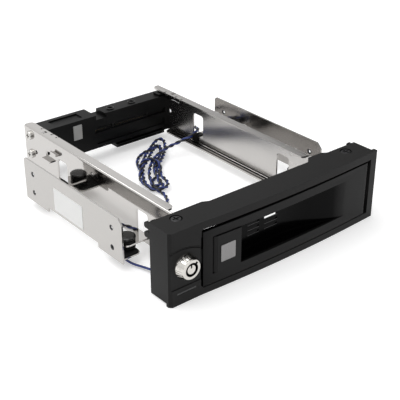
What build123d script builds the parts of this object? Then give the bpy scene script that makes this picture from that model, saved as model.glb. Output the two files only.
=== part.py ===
from build123d import *
import math
import os

# Hot swap drive cage for a half-height front bay.
# Millimetres. X runs to the right, Y from the front to the back, Z up.
# All sizes below are written with Y = 0 on the back face of the front lip and
# Z = 0 on its lower edge. The finished pieces are moved so that the origin is
# the middle of the outer box's underside.

# Front bezel
BEZEL_WIDTH = 148.0
HALF_WIDTH = BEZEL_WIDTH / 2
BEZEL_HEIGHT = 42.0
FLAT_FRONT_Y = -3.2
FLAT_WIDTH = 19.6
FLAT_END_X = FLAT_WIDTH - HALF_WIDTH
BOW_X = 14.0
BOW_Y = -4.9
RIGHT_FRONT_Y = -2.6
LIP_EDGE = 1.5
BODY_SIDE_STEP = 1.0
BODY_TOP_STEP = 0.6
BODY_DEPTH = 14.0
BODY_DEPTH_MIDDLE = 12.2
BODY_DEPTH_BUMP = 16.0
LEFT_STEP_WIDTH = 33.0
BUMP_INSET = 25.0
BUMP_WIDTH = 10.0
BUMP_SLOPE = 3.0
PRONG_LENGTH = 4.2
PRONG_THICKNESS = 1.6
PRONG_HEIGHT = 3.2
PRONG_TOP_DROP = 1.2
PRONG_PITCH = 5.2
BEZEL_WALL = 2.2
SKIN_BACK_Y = -0.6
ARCH_DEPTH = 0.4
ARCH_LOW_Z = 9.5
ARCH_SIDE_Z = 31.0
ARCH_RIGHT_Z = 28.7
ARCH_RISE = 1.6

# Door opening and door
OPENING_LEFT_X = FLAT_END_X
OPENING_RIGHT_INSET = 4.9
OPENING_RIGHT_X = HALF_WIDTH - OPENING_RIGHT_INSET
OPENING_LOW_Z = 3.9
OPENING_TOP_INSET = 4.3
OPENING_HIGH_Z = BEZEL_HEIGHT - OPENING_TOP_INSET
OPENING_CORNER_R = 2.0
DOOR_SIDE_GAP = 0.8
DOOR_HINGE_GAP = 2.0
DOOR_EDGE_GAP = 0.5
DOOR_THICKNESS = 2.4
DOOR_CORNER_R = 1.8
HINGE_INSET = 5.2
HINGE_X = OPENING_RIGHT_X - HINGE_INSET
HINGE_Y = 1.0
HINGE_PIN_R = 1.1
KNUCKLE_R = 2.4
HINGE_BOSS_R = 2.8
HINGE_BOSS_GAP = 0.3
PIN_IN_DOOR = 4.8
PIN_IN_BEZEL = 2.0
RUNNING_GAP = 0.06
SEAT_GAP = 0.05
UPPER_KNUCKLE_LENGTH = 7.0
UPPER_KNUCKLE_Z = OPENING_HIGH_Z - DOOR_EDGE_GAP - UPPER_KNUCKLE_LENGTH

# Finger scoop in the door
SCOOP_LEFT_X = OPENING_LEFT_X + 18.4
SCOOP_FLAT_END_X = 6.0
SCOOP_RIGHT_X = OPENING_RIGHT_X - 16.1
SCOOP_LOW_Z = 9.9
SCOOP_TOP_INSET = 6.2
SCOOP_HIGH_Z = OPENING_HIGH_Z - SCOOP_TOP_INSET
SCOOP_BACK_Y = 4.0
SCOOP_WALL = 1.6
SCOOP_RUNOUT = 0.6
VENT_COLUMNS = ((-17.3, -9.1), (-5.4, 4.0))
VENT_FIRST_Z = 18.0
VENT_PITCH = 3.0
VENT_ROWS = 4
VENT_HEIGHT = 1.1

# Latch pad
LATCH_PIN_INSET = 9.7
LATCH_PIN_X = OPENING_LEFT_X + LATCH_PIN_INSET
LATCH_PIN_Y = -2.3
LATCH_PIN_R = 0.8
LATCH_BARREL_R = 1.9
LATCH_PAD_WIDTH = 15.3
LATCH_RIGHT_X = LATCH_PIN_X + LATCH_PAD_WIDTH
LATCH_EDGE_GAP = 0.4
LATCH_PROUD = 0.6
LATCH_THICKNESS = 2.5
LATCH_SIDE_GAP = 0.5
ARM_TIP_GAP = 0.5
ARM_FRONT_Y = 0.8
ARM_THICKNESS = 1.8
ARM_HEIGHT = 4.0
ARM_LOW_Z = 10.5
ARM_HIGH_Z = SCOOP_HIGH_Z - 6.0
BARB_DEPTH = 0.6
PIN_END_DEPTH = 2.8
SPRING_WIRE_R = 0.22
SPRING_R = 1.15
SPRING_LOW_Z = 16.2
SPRING_PITCH = 1.1
SPRING_TURNS = 5
SPRING_POCKET_Z = (15.2, 23.6)
BADGE_SIZE = 9.6
BADGE_THICKNESS = 0.4
BADGE_CENTRE_X = LATCH_PIN_X + 6.9
BADGE_CENTRE_Z = (SCOOP_LOW_Z + SCOOP_HIGH_Z) / 2 - 0.4

# Lock
LOCK_INSET = 10.2
LOCK_X = LOCK_INSET - HALF_WIDTH
LOCK_Z = BEZEL_HEIGHT / 2
LOCK_FLANGE_R = 7.0
LOCK_FACE_R = 6.4
LOCK_EDGE_R = 0.6
LOCK_FLANGE_DEPTH = 4.5
LOCK_BARREL_R = 4.5
LOCK_BARREL_END_Y = 5.2
LOCK_CORE_R = 3.74
LOCK_NOSE_R = 2.5
KEY_SLOT_DEPTH = 4.0
KEY_NOTCH = 1.4
KEY_NOTCH_DEG = 45.0
NOSE_NOTCH = 0.9
NOSE_NOTCH_DEPTH = 0.7
CAM_FRONT_Y = 6.0
CAM_THICKNESS = 2.0
CAM_WIDTH = 6.0
CAM_HUB_R = 4.2
CAM_REACH = 12.8
CAM_SQUARE = 4.0
CAM_SCREW_R = 3.0
CAM_SCREW_HEAD = 1.2
NUT_FLATS = 12.0
NUT_THICKNESS = 2.6
STAPLE_GAP = 0.3
STAPLE_THICKNESS = 2.0
STAPLE_HEIGHT = 7.0
STAPLE_POST_X = (OPENING_LEFT_X + 4.2, OPENING_LEFT_X + 6.6)
STAPLE_TIP_X = OPENING_LEFT_X + 0.9

# Indicator light
LIGHT_WIDTH = 12.2
LIGHT_LEFT_X = 4.4 - HALF_WIDTH
LIGHT_RIGHT_X = LIGHT_LEFT_X + LIGHT_WIDTH
LIGHT_Z = 6.5
LIGHT_HEIGHT = 1.0
LIGHT_BACK_Y = 2.0
BOARD_BACK_GAP = 1.0
BOARD_THICKNESS = 1.2
BOARD_HEIGHT = 7.6
HEADER_DEPTH = 2.3
HEADER_SIZE = (5.0, 3.2)
HEADER_X = LIGHT_LEFT_X + 6.6
HEADER_Z = 5.5

# Bezel fixing screws
FIX_INSET = 13.5
FIX_X = HALF_WIDTH - FIX_INSET
FIX_Y = 8.7
FIX_HEAD_R = 2.9
FIX_HEAD_H = 1.2
FIX_RECESS_R = 3.3
FIX_RECESS_DEPTH = 1.4
FIX_BOSS_R = 4.2
FIX_SHANK_R = 1.45
FIX_SHANK_END = 0.8

# Side walls
SHEET = 1.0
WALL_INSET = 21.8
WALL_OUTER_X = HALF_WIDTH - WALL_INSET
WALL_LOW_Z = 6.0
WALL_TOP_DROP = 7.4
WALL_HIGH_Z = BEZEL_HEIGHT - WALL_TOP_DROP
WALL_FRONT_Y = 11.2
WALL_BACK_Y = 170.5
FLANGE_WIDTH = 6.0
FLANGE_FRONT_Y = 28.0
RAIL_BACK_Y = 157.5
FLANGE_END_R = 3.0
BEND_OUT_R = 1.3
BEND_IN_R = 0.3
EAR_FRONT_Y = 3.0
EAR_TAB_DROP = 3.2
EAR_TAB_Z = WALL_HIGH_Z - EAR_TAB_DROP
EAR_TAB_X = FIX_X + 4.5
EAR_TAB_Y = (4.5, 12.5)
WINDOW_WIDTH = 10.2
LEFT_WINDOW_Z = WALL_HIGH_Z - 9.6
RIGHT_WINDOW_Z = WALL_HIGH_Z - 7.8
WINDOW_R = 2.0
LEDGE_TOP_Z = 11.2
LEDGE_BEYOND_DAMPER = 4.2
HOOK_HOLE = ((146.0, 25.2), (138.2, 26.6), (146.2, 21.7))
HOOK_FIN = ((148.0, 15.8), (148.0, 21.0), (138.2, 21.0))
HOOK_TAB_Y = (131.4, 137.6)
HOOK_TAB_Z = 27.0
HOOK_TAB_TURN = 1.8
HOOK_PROUD = 2.2
SLIT_FIRST_Y = 140.5
SLIT_PITCH = 5.6
SLIT_WIDTH = 1.0
SLIT_LENGTH = 3.0
SPY_HOLE_Y = 158.0
SPY_HOLE_Z = 20.0
SPY_HOLE_R = 1.3

# Outer mounting brackets
BRACKET_INSET = 1.0
BRACKET_OUTER_X = HALF_WIDTH - BRACKET_INSET
BRACKET_FRONT_Y = 38.0
BRACKET_BACK_Y = 135.8
BRACKET_LOW_Z = 5.3
BRACKET_HIGH_Z = WALL_HIGH_Z - 3.1
BRACKET_CORNER = 3.4
BRACKET_RAISE = 2.8
BRACKET_RAISE_Y = (61.0, 111.7)
TAB_LENGTH = 14.4
TAB_INNER_X = BRACKET_OUTER_X - TAB_LENGTH
TAB_Y_FRONT = (41.0, 56.5)
TAB_Y_REAR = (119.5, 135.0)
TAB_CORNER_R = 3.0
MOUNT_HOLE_R = 1.6
MOUNT_FRONT_Y = 47.4
MOUNT_PITCH_Y = 79.25
MOUNT_LOW_Z = 11.7
MOUNT_PITCH_Z = 11.84
LABEL_Y = (75.0, 104.0)
LABEL_Z = (9.8, 24.2)
LABEL_THICKNESS = 0.15

# Rubber dampers between walls and brackets
DAMPER_INSET = 10.2
DAMPER_X = BRACKET_OUTER_X - DAMPER_INSET
DAMPER_FRONT_Y = 48.9
DAMPER_PITCH_Y = 79.1
DAMPER_R = 4.85
DAMPER_NECK_R = 2.9
DAMPER_WAIST_R = 4.3
DAMPER_TOP_Z = 13.4
DAMPER_CAP = 1.4
DAMPER_CAP_R = 5.2
DAMPER_CAP_ROUND = 0.9
PAD_THICKNESS = 0.8
PAD_MARGIN = 0.6
DAMPER_SHANK_R = 1.5

# Rear housing with the backplane
HOUSING_FRONT_Y = 158.0
HOUSING_BACK_Y = 170.0
HOUSING_SIDE_GAP = 0.1
HOUSING_LOW_Z = 9.5
HOUSING_BLOCK_Z = WALL_HIGH_Z - 1.4
HOUSING_BAR_Z = HOUSING_BLOCK_Z - 1.8
HOUSING_BLOCK_X = (7.4 - WALL_OUTER_X, -9.0)
HOUSING_NOTCH_X = (-9.0, 0.0)
HOUSING_NOTCH_Z = HOUSING_BAR_Z - 2.2
HOUSING_LEDGE_X = (9.0, WALL_OUTER_X - 4.2)
HOUSING_LEDGE_Z = (4.2, 6.4)
HOUSING_LEDGE_DEPTH = 9.5
HOUSING_RING_X = (7.0, 24.0)
HOUSING_RING_R = 2.4
HOUSING_TOP_LIP = 0.7
HOUSING_PANEL_Z = (12.2, 16.4)
HOUSING_GROOVE = 0.8
CLIP_TOWER_X = (WALL_OUTER_X - 8.6, WALL_OUTER_X - 2.8)
CLIP_TOWER_Z = HOUSING_BLOCK_Z - 0.4
CLIP_TOWER_SLOT = 1.6
REAR_SCREW_Y = 164.0
REAR_SCREW_Z = (17.0, HOUSING_BAR_Z - 2.0)
REAR_SCREW_HEAD_R = 2.8
REAR_SCREW_HEAD = 1.8
REAR_SCREW_R = 1.45
REAR_SCREW_LENGTH = 5.0
POCKET_X = (9.2 - WALL_OUTER_X, WALL_OUTER_X - 9.2)
POCKET_Z = (11.5, HOUSING_BAR_Z - 4.9)
POCKET_FRONT_Y = 162.0
PCB_THICKNESS = 1.6
PCB_GAP = 0.15
SOCKET_X = (-10.0, 33.5)
SOCKET_Z = (20.4, 23.6)
SOCKET_INSET = 1.2
SOCKET_FRONT_Y = HOUSING_FRONT_Y + SOCKET_INSET
SOCKET_SLOT_DEPTH = 2.4
SOCKET_TONGUE = 1.0
POWER_X = (-39.0, -16.0)
DATA_X = (0.0, 16.5)
PLUG_Z = (13.6, 20.6)
PLUG_BACK_Y = 170.2
GUIDE_X = (-26.3, -20.0)
GUIDE_Z = (20.7, HOUSING_BLOCK_Z - 2.8)

# Ejector
CRANK_LOW_Z = WALL_HIGH_Z - 9.8
CRANK_THICKNESS = 2.0
CRANK_RADIUS = 6.0
CRANK_REST_DEG = 125.0
CRANK_EYE_R = 2.0
CRANK_PIN_R = 1.1
CRANK_PIN_TOP = 0.9
DOOR_SWING_DEG = 90.0
SLIDER_GAP = 0.3
SLIDER_THICKNESS = 1.0
SLIDER_LOW_Z = WALL_HIGH_Z - 6.6
SLIDER_HIGH_Z = WALL_HIGH_Z - 1.4
SLIDER_NECK_Z = WALL_HIGH_Z - 3.7
SLIDER_NECK_Y = 22.0
SLIDER_BACK_Y = 157.3
TAB_LOW_Z = CRANK_LOW_Z + CRANK_THICKNESS + 0.6
TAB_FRONT_Y = 1.5
TAB_REACH_X = HINGE_X - 1.4
TAB_BACK_Y = 12.0
CROSS_SLOT_X = (HINGE_X - 7.3, HINGE_X - 2.1)
CROSS_SLOT_GAP = 0.45
FINGER_X = WALL_OUTER_X - 2.2
FINGER_Z = (SLIDER_LOW_Z + 0.4, SLIDER_LOW_Z + 3.4)
FINGER_SLOT_GAP = 0.8
GUIDE_RIVET_Y = (42.0, 86.0, 112.0)
GUIDE_RIVET_R = 1.5
GUIDE_RIVET_HEAD_R = 2.6
GUIDE_RIVET_HEAD = 1.0
GUIDE_SLOT_GAP = 0.15

# Clip that holds the cable on the sill of the right rear window
CLIP_Y = (127.6, 132.6)
CLIP_X = (WALL_OUTER_X - 2.2, WALL_OUTER_X + 4.2)
CLIP_THICKNESS = 0.6
CLIP_TOP_Z = LEDGE_TOP_Z + CLIP_THICKNESS
CLIP_LEG_Z = 7.6

# Indicator cable: a limp twisted pair
CABLE_R = 1.15
CABLE_HOLE_Y = 162.5
CABLE_HOLE_Z = 9.0
CABLE_HOLE_GAP = 0.6
CABLE_SOCKET_DEPTH = 1.0
REAR_CABLE_ROUTE = (
    (WALL_OUTER_X + 5.4, 162.5, 9.0),
    (WALL_OUTER_X + 10.4, 157.5, 9.0),
    (WALL_OUTER_X + 10.4, 149.0, 9.3),
    (WALL_OUTER_X + 7.3, 139.4, 11.4),
    (WALL_OUTER_X + 3.3, 132.8, 13.3),
    (WALL_OUTER_X - 2.7, 129.6, 13.4),
    (42.5, 130.3, 11.2),
    (35.5, 133.6, 8.4),
    (29.0, 136.0, 7.0),
)
FRONT_CABLE_ROUTE = (
    (-3.2, 95.8, 3.0),
    (-6.4, 86.2, 1.25),
    (-12.8, 82.0, 1.25),
    (-19.4, 87.4, 1.25),
    (-27.4, 91.4, 1.25),
    (-36.4, 91.4, 1.25),
    (-46.0, 88.2, 1.25),
    (-55.0, 83.4, 1.25),
    (-60.8, 76.0, 1.25),
    (-62.6, 66.0, 1.25),
    (-64.4, 54.0, 1.25),
    (-65.6, 43.0, 1.25),
    (HEADER_X + 1.0, 34.0, 1.3),
    (HEADER_X + 2.4, 24.4, 2.6),
    (HEADER_X, 15.2, 5.5),
)
HANK_OUTLINE = (
    (40.6, 153.6), (35.4, 143.2), (24.0, 131.0), (13.6, 121.6), (10.6, 113.0), (7.0, 102.6),
    (1.6, 95.4), (-6.4, 95.4), (-8.6, 104.0), (-6.4, 115.0), (1.0, 126.0), (8.4, 139.6),
    (20.0, 149.6), (33.0, 155.0),
)
HANK_HEIGHT = 7.2
HANK_BEND_R = 3.0
HANK_EDGE_STEP = 2.0

# Values that follow from the sizes above
WALL_INNER_X = WALL_OUTER_X - SHEET
BRACKET_INNER_X = BRACKET_OUTER_X - SHEET
BODY_X = HALF_WIDTH - BODY_SIDE_STEP
BODY_LOW_Z = BODY_TOP_STEP
BODY_HIGH_Z = BEZEL_HEIGHT - BODY_TOP_STEP
CAVITY_X = BODY_X - BEZEL_WALL
LEDGE_REACH_X = DAMPER_X + LEDGE_BEYOND_DAMPER
CAVITY_LOW_Z = BODY_LOW_Z + BEZEL_WALL
CAVITY_HIGH_Z = BODY_HIGH_Z - BEZEL_WALL
DOOR_LEFT_X = OPENING_LEFT_X + DOOR_SIDE_GAP
DOOR_RIGHT_X = OPENING_RIGHT_X - DOOR_HINGE_GAP
DOOR_LOW_Z = OPENING_LOW_Z + DOOR_EDGE_GAP
DOOR_HIGH_Z = OPENING_HIGH_Z - DOOR_EDGE_GAP
LATCH_LOW_Z = SCOOP_LOW_Z + LATCH_EDGE_GAP
LATCH_HIGH_Z = SCOOP_HIGH_Z - LATCH_EDGE_GAP
POCKET_LEFT_X = LATCH_PIN_X - LATCH_BARREL_R - LATCH_SIDE_GAP
LOCK_FACE_Y = FLAT_FRONT_Y - LOCK_FLANGE_DEPTH
STAPLE_FRONT_Y = CAM_FRONT_Y + CAM_THICKNESS + STAPLE_GAP
CRANK_REST = math.radians(CRANK_REST_DEG)
CRANK_PIN_X = HINGE_X + CRANK_RADIUS * math.cos(CRANK_REST)
CRANK_PIN_Y = HINGE_Y + CRANK_RADIUS * math.sin(CRANK_REST)
CRANK_END = math.radians(CRANK_REST_DEG + DOOR_SWING_DEG)
EJECT_TRAVEL = CRANK_RADIUS * (math.sin(CRANK_REST) - math.sin(CRANK_END))
SLIDER_X = WALL_OUTER_X + SLIDER_GAP
DAMPER_YS = (DAMPER_FRONT_Y, DAMPER_FRONT_Y + DAMPER_PITCH_Y)
MOUNT_YS = (MOUNT_FRONT_Y, MOUNT_FRONT_Y + MOUNT_PITCH_Y)
MOUNT_ZS = (MOUNT_LOW_Z, MOUNT_LOW_Z + MOUNT_PITCH_Z)
MID_Y = (LOCK_FACE_Y + WALL_BACK_Y) / 2
THROUGH = 20.0


def block(x0, x1, y0, y1, z0, z1):
    """Rectangular block between two corners."""
    size = Box(abs(x1 - x0), abs(y1 - y0), abs(z1 - z0))
    return Pos((x0 + x1) / 2, (y0 + y1) / 2, (z0 + z1) / 2) * size


def rod_x(y, z, x0, x1, r):
    """Round bar along X."""
    return Pos((x0 + x1) / 2, y, z) * Rot(0, 90, 0) * Cylinder(r, abs(x1 - x0))


def rod_y(x, z, y0, y1, r):
    """Round bar along Y."""
    return Pos(x, (y0 + y1) / 2, z) * Rot(90, 0, 0) * Cylinder(r, abs(y1 - y0))


def rod_z(x, y, z0, z1, r):
    """Round bar along Z."""
    return Pos(x, y, (z0 + z1) / 2) * Cylinder(r, abs(z1 - z0))


def slot_x(y0, y1, z, half, x0, x1):
    """Slot with round ends along Y, cut through a sheet that faces X."""
    bar = block(x0, x1, y0, y1, z - half, z + half)
    return bar + rod_x(y0, z, x0, x1, half) + rod_x(y1, z, x0, x1, half)


def plan_solid(edges, z0, z1):
    """Plan outline in X and Y, raised from z0 to z1."""
    face = make_face(edges)
    return Pos(0, 0, z0) * extrude(face, amount=z1 - z0, dir=(0, 0, 1))


def plan_polygon(points, z0, z1):
    """Straight-sided plan outline, raised from z0 to z1."""
    return plan_solid(Polyline(*points, close=True).edges(), z0, z1)


def mirrored(shape):
    """The same piece on the other side of the cage."""
    return mirror(shape, about=Plane.YZ)


def both_sides(shape):
    """A piece and its mirror image as one group of solids."""
    return Compound(children=[*shape.solids(), *mirrored(shape).solids()])


def circle_through(p, q, r):
    """Centre and radius of the circle through three plan points."""
    ax, ay = q[0] - p[0], q[1] - p[1]
    bx, by = r[0] - p[0], r[1] - p[1]
    area = 2 * (ax * by - ay * bx)
    aa = ax * ax + ay * ay
    bb = bx * bx + by * by
    cx = (by * aa - ay * bb) / area
    cy = (ax * bb - bx * aa) / area
    return p[0] + cx, p[1] + cy, math.hypot(cx, cy)


FACE_X, FACE_Y, FACE_R = circle_through(
    (FLAT_END_X, FLAT_FRONT_Y), (BOW_X, BOW_Y), (HALF_WIDTH, RIGHT_FRONT_Y)
)


def face_y(x):
    """Y of the bowed front face at x."""
    return FACE_Y - math.sqrt(FACE_R**2 - (x - FACE_X) ** 2)


def bowed_arc(x0, x1, shift=0.0):
    """The bowed front line from x0 to x1, shifted along Y."""
    xm = (x0 + x1) / 2
    ends = [(x, face_y(x) + shift) for x in (x0, xm, x1)]
    return ThreePointArc(*ends)


def bowed_slab(x0, x1, z0, z1, front, back):
    """Slab whose two large faces follow the bowed front."""
    face = bowed_arc(x0, x1, front)
    rear = bowed_arc(x0, x1, back)
    sides = [Line(face @ 0, rear @ 0), Line(face @ 1, rear @ 1)]
    return plan_solid([*face.edges(), *rear.edges(), *[s.edge() for s in sides]], z0, z1)


def bezel_lip():
    """Front lip: flat at the lock, bowed over the door."""
    bow = ThreePointArc((FLAT_END_X, FLAT_FRONT_Y), (BOW_X, BOW_Y), (HALF_WIDTH, RIGHT_FRONT_Y))
    flat = Polyline(
        (HALF_WIDTH, RIGHT_FRONT_Y),
        (HALF_WIDTH, 0),
        (-HALF_WIDTH, 0),
        (-HALF_WIDTH, FLAT_FRONT_Y + LIP_EDGE),
        (-HALF_WIDTH + LIP_EDGE, FLAT_FRONT_Y),
        (FLAT_END_X, FLAT_FRONT_Y),
    )
    return plan_solid([*bow.edges(), *flat.edges()], 0, BEZEL_HEIGHT)


def bezel_body():
    """Box behind the lip, with the stepped rear edge."""
    slope = 2 * (BODY_DEPTH - BODY_DEPTH_MIDDLE)
    left_end = LEFT_STEP_WIDTH - BODY_X
    bump_end = BODY_X - BUMP_INSET
    bump_start = bump_end - BUMP_WIDTH
    points = [
        (-BODY_X, -SHEET), (-BODY_X, BODY_DEPTH), (left_end, BODY_DEPTH),
        (left_end + slope, BODY_DEPTH_MIDDLE), (bump_start - BUMP_SLOPE, BODY_DEPTH_MIDDLE),
        (bump_start, BODY_DEPTH_BUMP), (bump_end, BODY_DEPTH_BUMP),
        (bump_end + BUMP_SLOPE, BODY_DEPTH), (BODY_X, BODY_DEPTH), (BODY_X, -SHEET),
    ]
    return plan_polygon(points, BODY_LOW_Z, BODY_HIGH_Z)


def snap_prongs():
    """Two pairs of short prongs behind the sides of the box."""
    prongs = []
    for side in (-1, 1):
        for number in range(2):
            top = BODY_HIGH_Z - PRONG_TOP_DROP - number * PRONG_PITCH
            x0, x1 = side * (BODY_X - PRONG_THICKNESS), side * BODY_X
            back = BODY_DEPTH + PRONG_LENGTH
            prong = block(x0, x1, BODY_DEPTH - SHEET, back, top - PRONG_HEIGHT, top)
            prongs.append(chamfer(prong.edges().filter_by(Axis.X).group_by(Axis.Y)[-1], 0.8))
    return prongs


def arch_recess():
    """Shallow panel round the lock with an arched top edge."""
    left = -HALF_WIDTH - SHEET
    middle = (left + FLAT_END_X) / 2
    y = FLAT_FRONT_Y + ARCH_DEPTH
    top = ThreePointArc(
        (left, y, ARCH_SIDE_Z),
        (middle, y, (ARCH_SIDE_Z + ARCH_RIGHT_Z) / 2 + ARCH_RISE),
        (FLAT_END_X, y, ARCH_RIGHT_Z),
    )
    rest = Polyline(
        (FLAT_END_X, y, ARCH_RIGHT_Z),
        (FLAT_END_X, y, ARCH_LOW_Z),
        (left, y, ARCH_LOW_Z),
        (left, y, ARCH_SIDE_Z),
    )
    return extrude(make_face([*top.edges(), *rest.edges()]), amount=THROUGH, dir=(0, -1, 0))


def door_opening():
    """Through opening for the door with rounded left corners."""
    hole = block(OPENING_LEFT_X, OPENING_RIGHT_X, -THROUGH, SHEET, OPENING_LOW_Z, OPENING_HIGH_Z)
    left = hole.edges().filter_by(Axis.Y).group_by(Axis.X)[0]
    return fillet(left, OPENING_CORNER_R)


def make_bezel():
    """Moulded front bezel with its bosses, ribs and seats."""
    shell = bezel_lip() + bezel_body() + snap_prongs()
    shell -= block(-CAVITY_X, CAVITY_X, SKIN_BACK_Y, THROUGH, CAVITY_LOW_Z, CAVITY_HIGH_Z)
    boss_low = EAR_TAB_Z + SHEET + SEAT_GAP
    for side in (-1, 1):
        boss = rod_z(side * FIX_X, FIX_Y, boss_low, CAVITY_HIGH_Z + SHEET, FIX_BOSS_R)
        x_in = side * (WALL_INNER_X - FLANGE_WIDTH)
        x_out = side * (WALL_OUTER_X + SHEET)
        foot_top = WALL_LOW_Z - RUNNING_GAP
        foot = block(x_in, x_out, WALL_FRONT_Y - SHEET, BODY_DEPTH_MIDDLE, CAVITY_LOW_Z - SHEET, foot_top)
        shell += boss + foot
    low_boss = rod_z(HINGE_X, HINGE_Y, BODY_LOW_Z, DOOR_LOW_Z - HINGE_BOSS_GAP, HINGE_BOSS_R)
    high_boss = rod_z(HINGE_X, HINGE_Y, DOOR_HIGH_Z + HINGE_BOSS_GAP, BODY_HIGH_Z, HINGE_BOSS_R)
    shell += low_boss + high_boss
    keeper_x = OPENING_LEFT_X - 2 * SHEET
    for z in (ARM_LOW_Z, ARM_HIGH_Z):
        top = z + ARM_HEIGHT + SHEET
        shell += block(keeper_x, OPENING_LEFT_X, SKIN_BACK_Y - SHEET, SHEET, z - SHEET, top)
    for x in (LIGHT_LEFT_X - SHEET / 2, LIGHT_RIGHT_X):
        post_y = LIGHT_BACK_Y + BOARD_BACK_GAP - RUNNING_GAP
        post_z = (CAVITY_LOW_Z - SHEET, LIGHT_Z + 2 * SHEET)
        shell += block(x, x + SHEET / 2, SKIN_BACK_Y - SHEET, post_y, *post_z)
    shell -= door_opening()
    shell -= arch_recess()
    shell -= rod_y(LOCK_X, LOCK_Z, -THROUGH, SHEET, LOCK_BARREL_R + RUNNING_GAP)
    light_half = LIGHT_HEIGHT / 2
    shell -= block(LIGHT_LEFT_X, LIGHT_RIGHT_X, -THROUGH, SHEET, LIGHT_Z - light_half, LIGHT_Z + light_half)
    for side in (-1, 1):
        recess_z = BODY_HIGH_Z - FIX_RECESS_DEPTH
        shell -= rod_z(side * FIX_X, FIX_Y, recess_z, BEZEL_HEIGHT + SHEET, FIX_RECESS_R)
        shell -= rod_z(side * FIX_X, FIX_Y, boss_low - SHEET, BEZEL_HEIGHT, FIX_SHANK_R + RUNNING_GAP)
    bore = HINGE_PIN_R + SEAT_GAP
    low_end = DOOR_LOW_Z - HINGE_BOSS_GAP - PIN_IN_BEZEL - SEAT_GAP
    high_end = DOOR_HIGH_Z + HINGE_BOSS_GAP + PIN_IN_BEZEL + SEAT_GAP
    shell -= rod_z(HINGE_X, HINGE_Y, low_end, DOOR_LOW_Z, bore)
    shell -= rod_z(HINGE_X, HINGE_Y, DOOR_HIGH_Z, high_end, bore)
    return shell


def make_bezel_screws():
    """Two cross-head screws from the top of the bezel into the wall ears."""
    head_low = BODY_HIGH_Z - FIX_RECESS_DEPTH
    head = rod_z(FIX_X, FIX_Y, head_low, head_low + FIX_HEAD_H, FIX_HEAD_R)
    head = fillet(head.edges().sort_by(Axis.Z)[-1], 0.5)
    for size in ((1.9, 0.45), (0.45, 1.9)):
        head -= Pos(FIX_X, FIX_Y, head_low + FIX_HEAD_H) * Box(2 * size[0], 2 * size[1], 1.2)
    shank = rod_z(FIX_X, FIX_Y, EAR_TAB_Z - FIX_SHANK_END, head_low, FIX_SHANK_R)
    return both_sides(head + shank)


def scoop_curve(shift):
    """Back line of the scoop: flat, then an S that runs out at the face."""
    end_x = SCOOP_RIGHT_X + 1
    end_y = face_y(SCOOP_RIGHT_X) - SCOOP_RUNOUT + shift
    back = SCOOP_BACK_Y + shift
    third = (end_x - SCOOP_FLAT_END_X) / 3
    return Bezier(
        (SCOOP_FLAT_END_X, back),
        (SCOOP_FLAT_END_X + 1.2 * third, back),
        (end_x - 1.3 * third, end_y + 1.0),
        (end_x, end_y),
    )


def scoop_block(left, shift, z0, z1):
    """Space of the scoop from in front of the face to its back line."""
    curve = scoop_curve(shift)
    back = SCOOP_BACK_Y + shift
    end = curve @ 1
    start_y = -THROUGH if shift == 0 else face_y(SCOOP_LEFT_X) + SHEET
    outline = Polyline(
        (end.X, end.Y), (end.X, start_y), (left, start_y), (left, back), (SCOOP_FLAT_END_X, back)
    )
    if shift:
        outline = Polyline((end.X, end.Y), (left, start_y), (left, back), (SCOOP_FLAT_END_X, back))
    return plan_solid([*curve.edges(), *outline.edges()], z0, z1)


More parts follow.
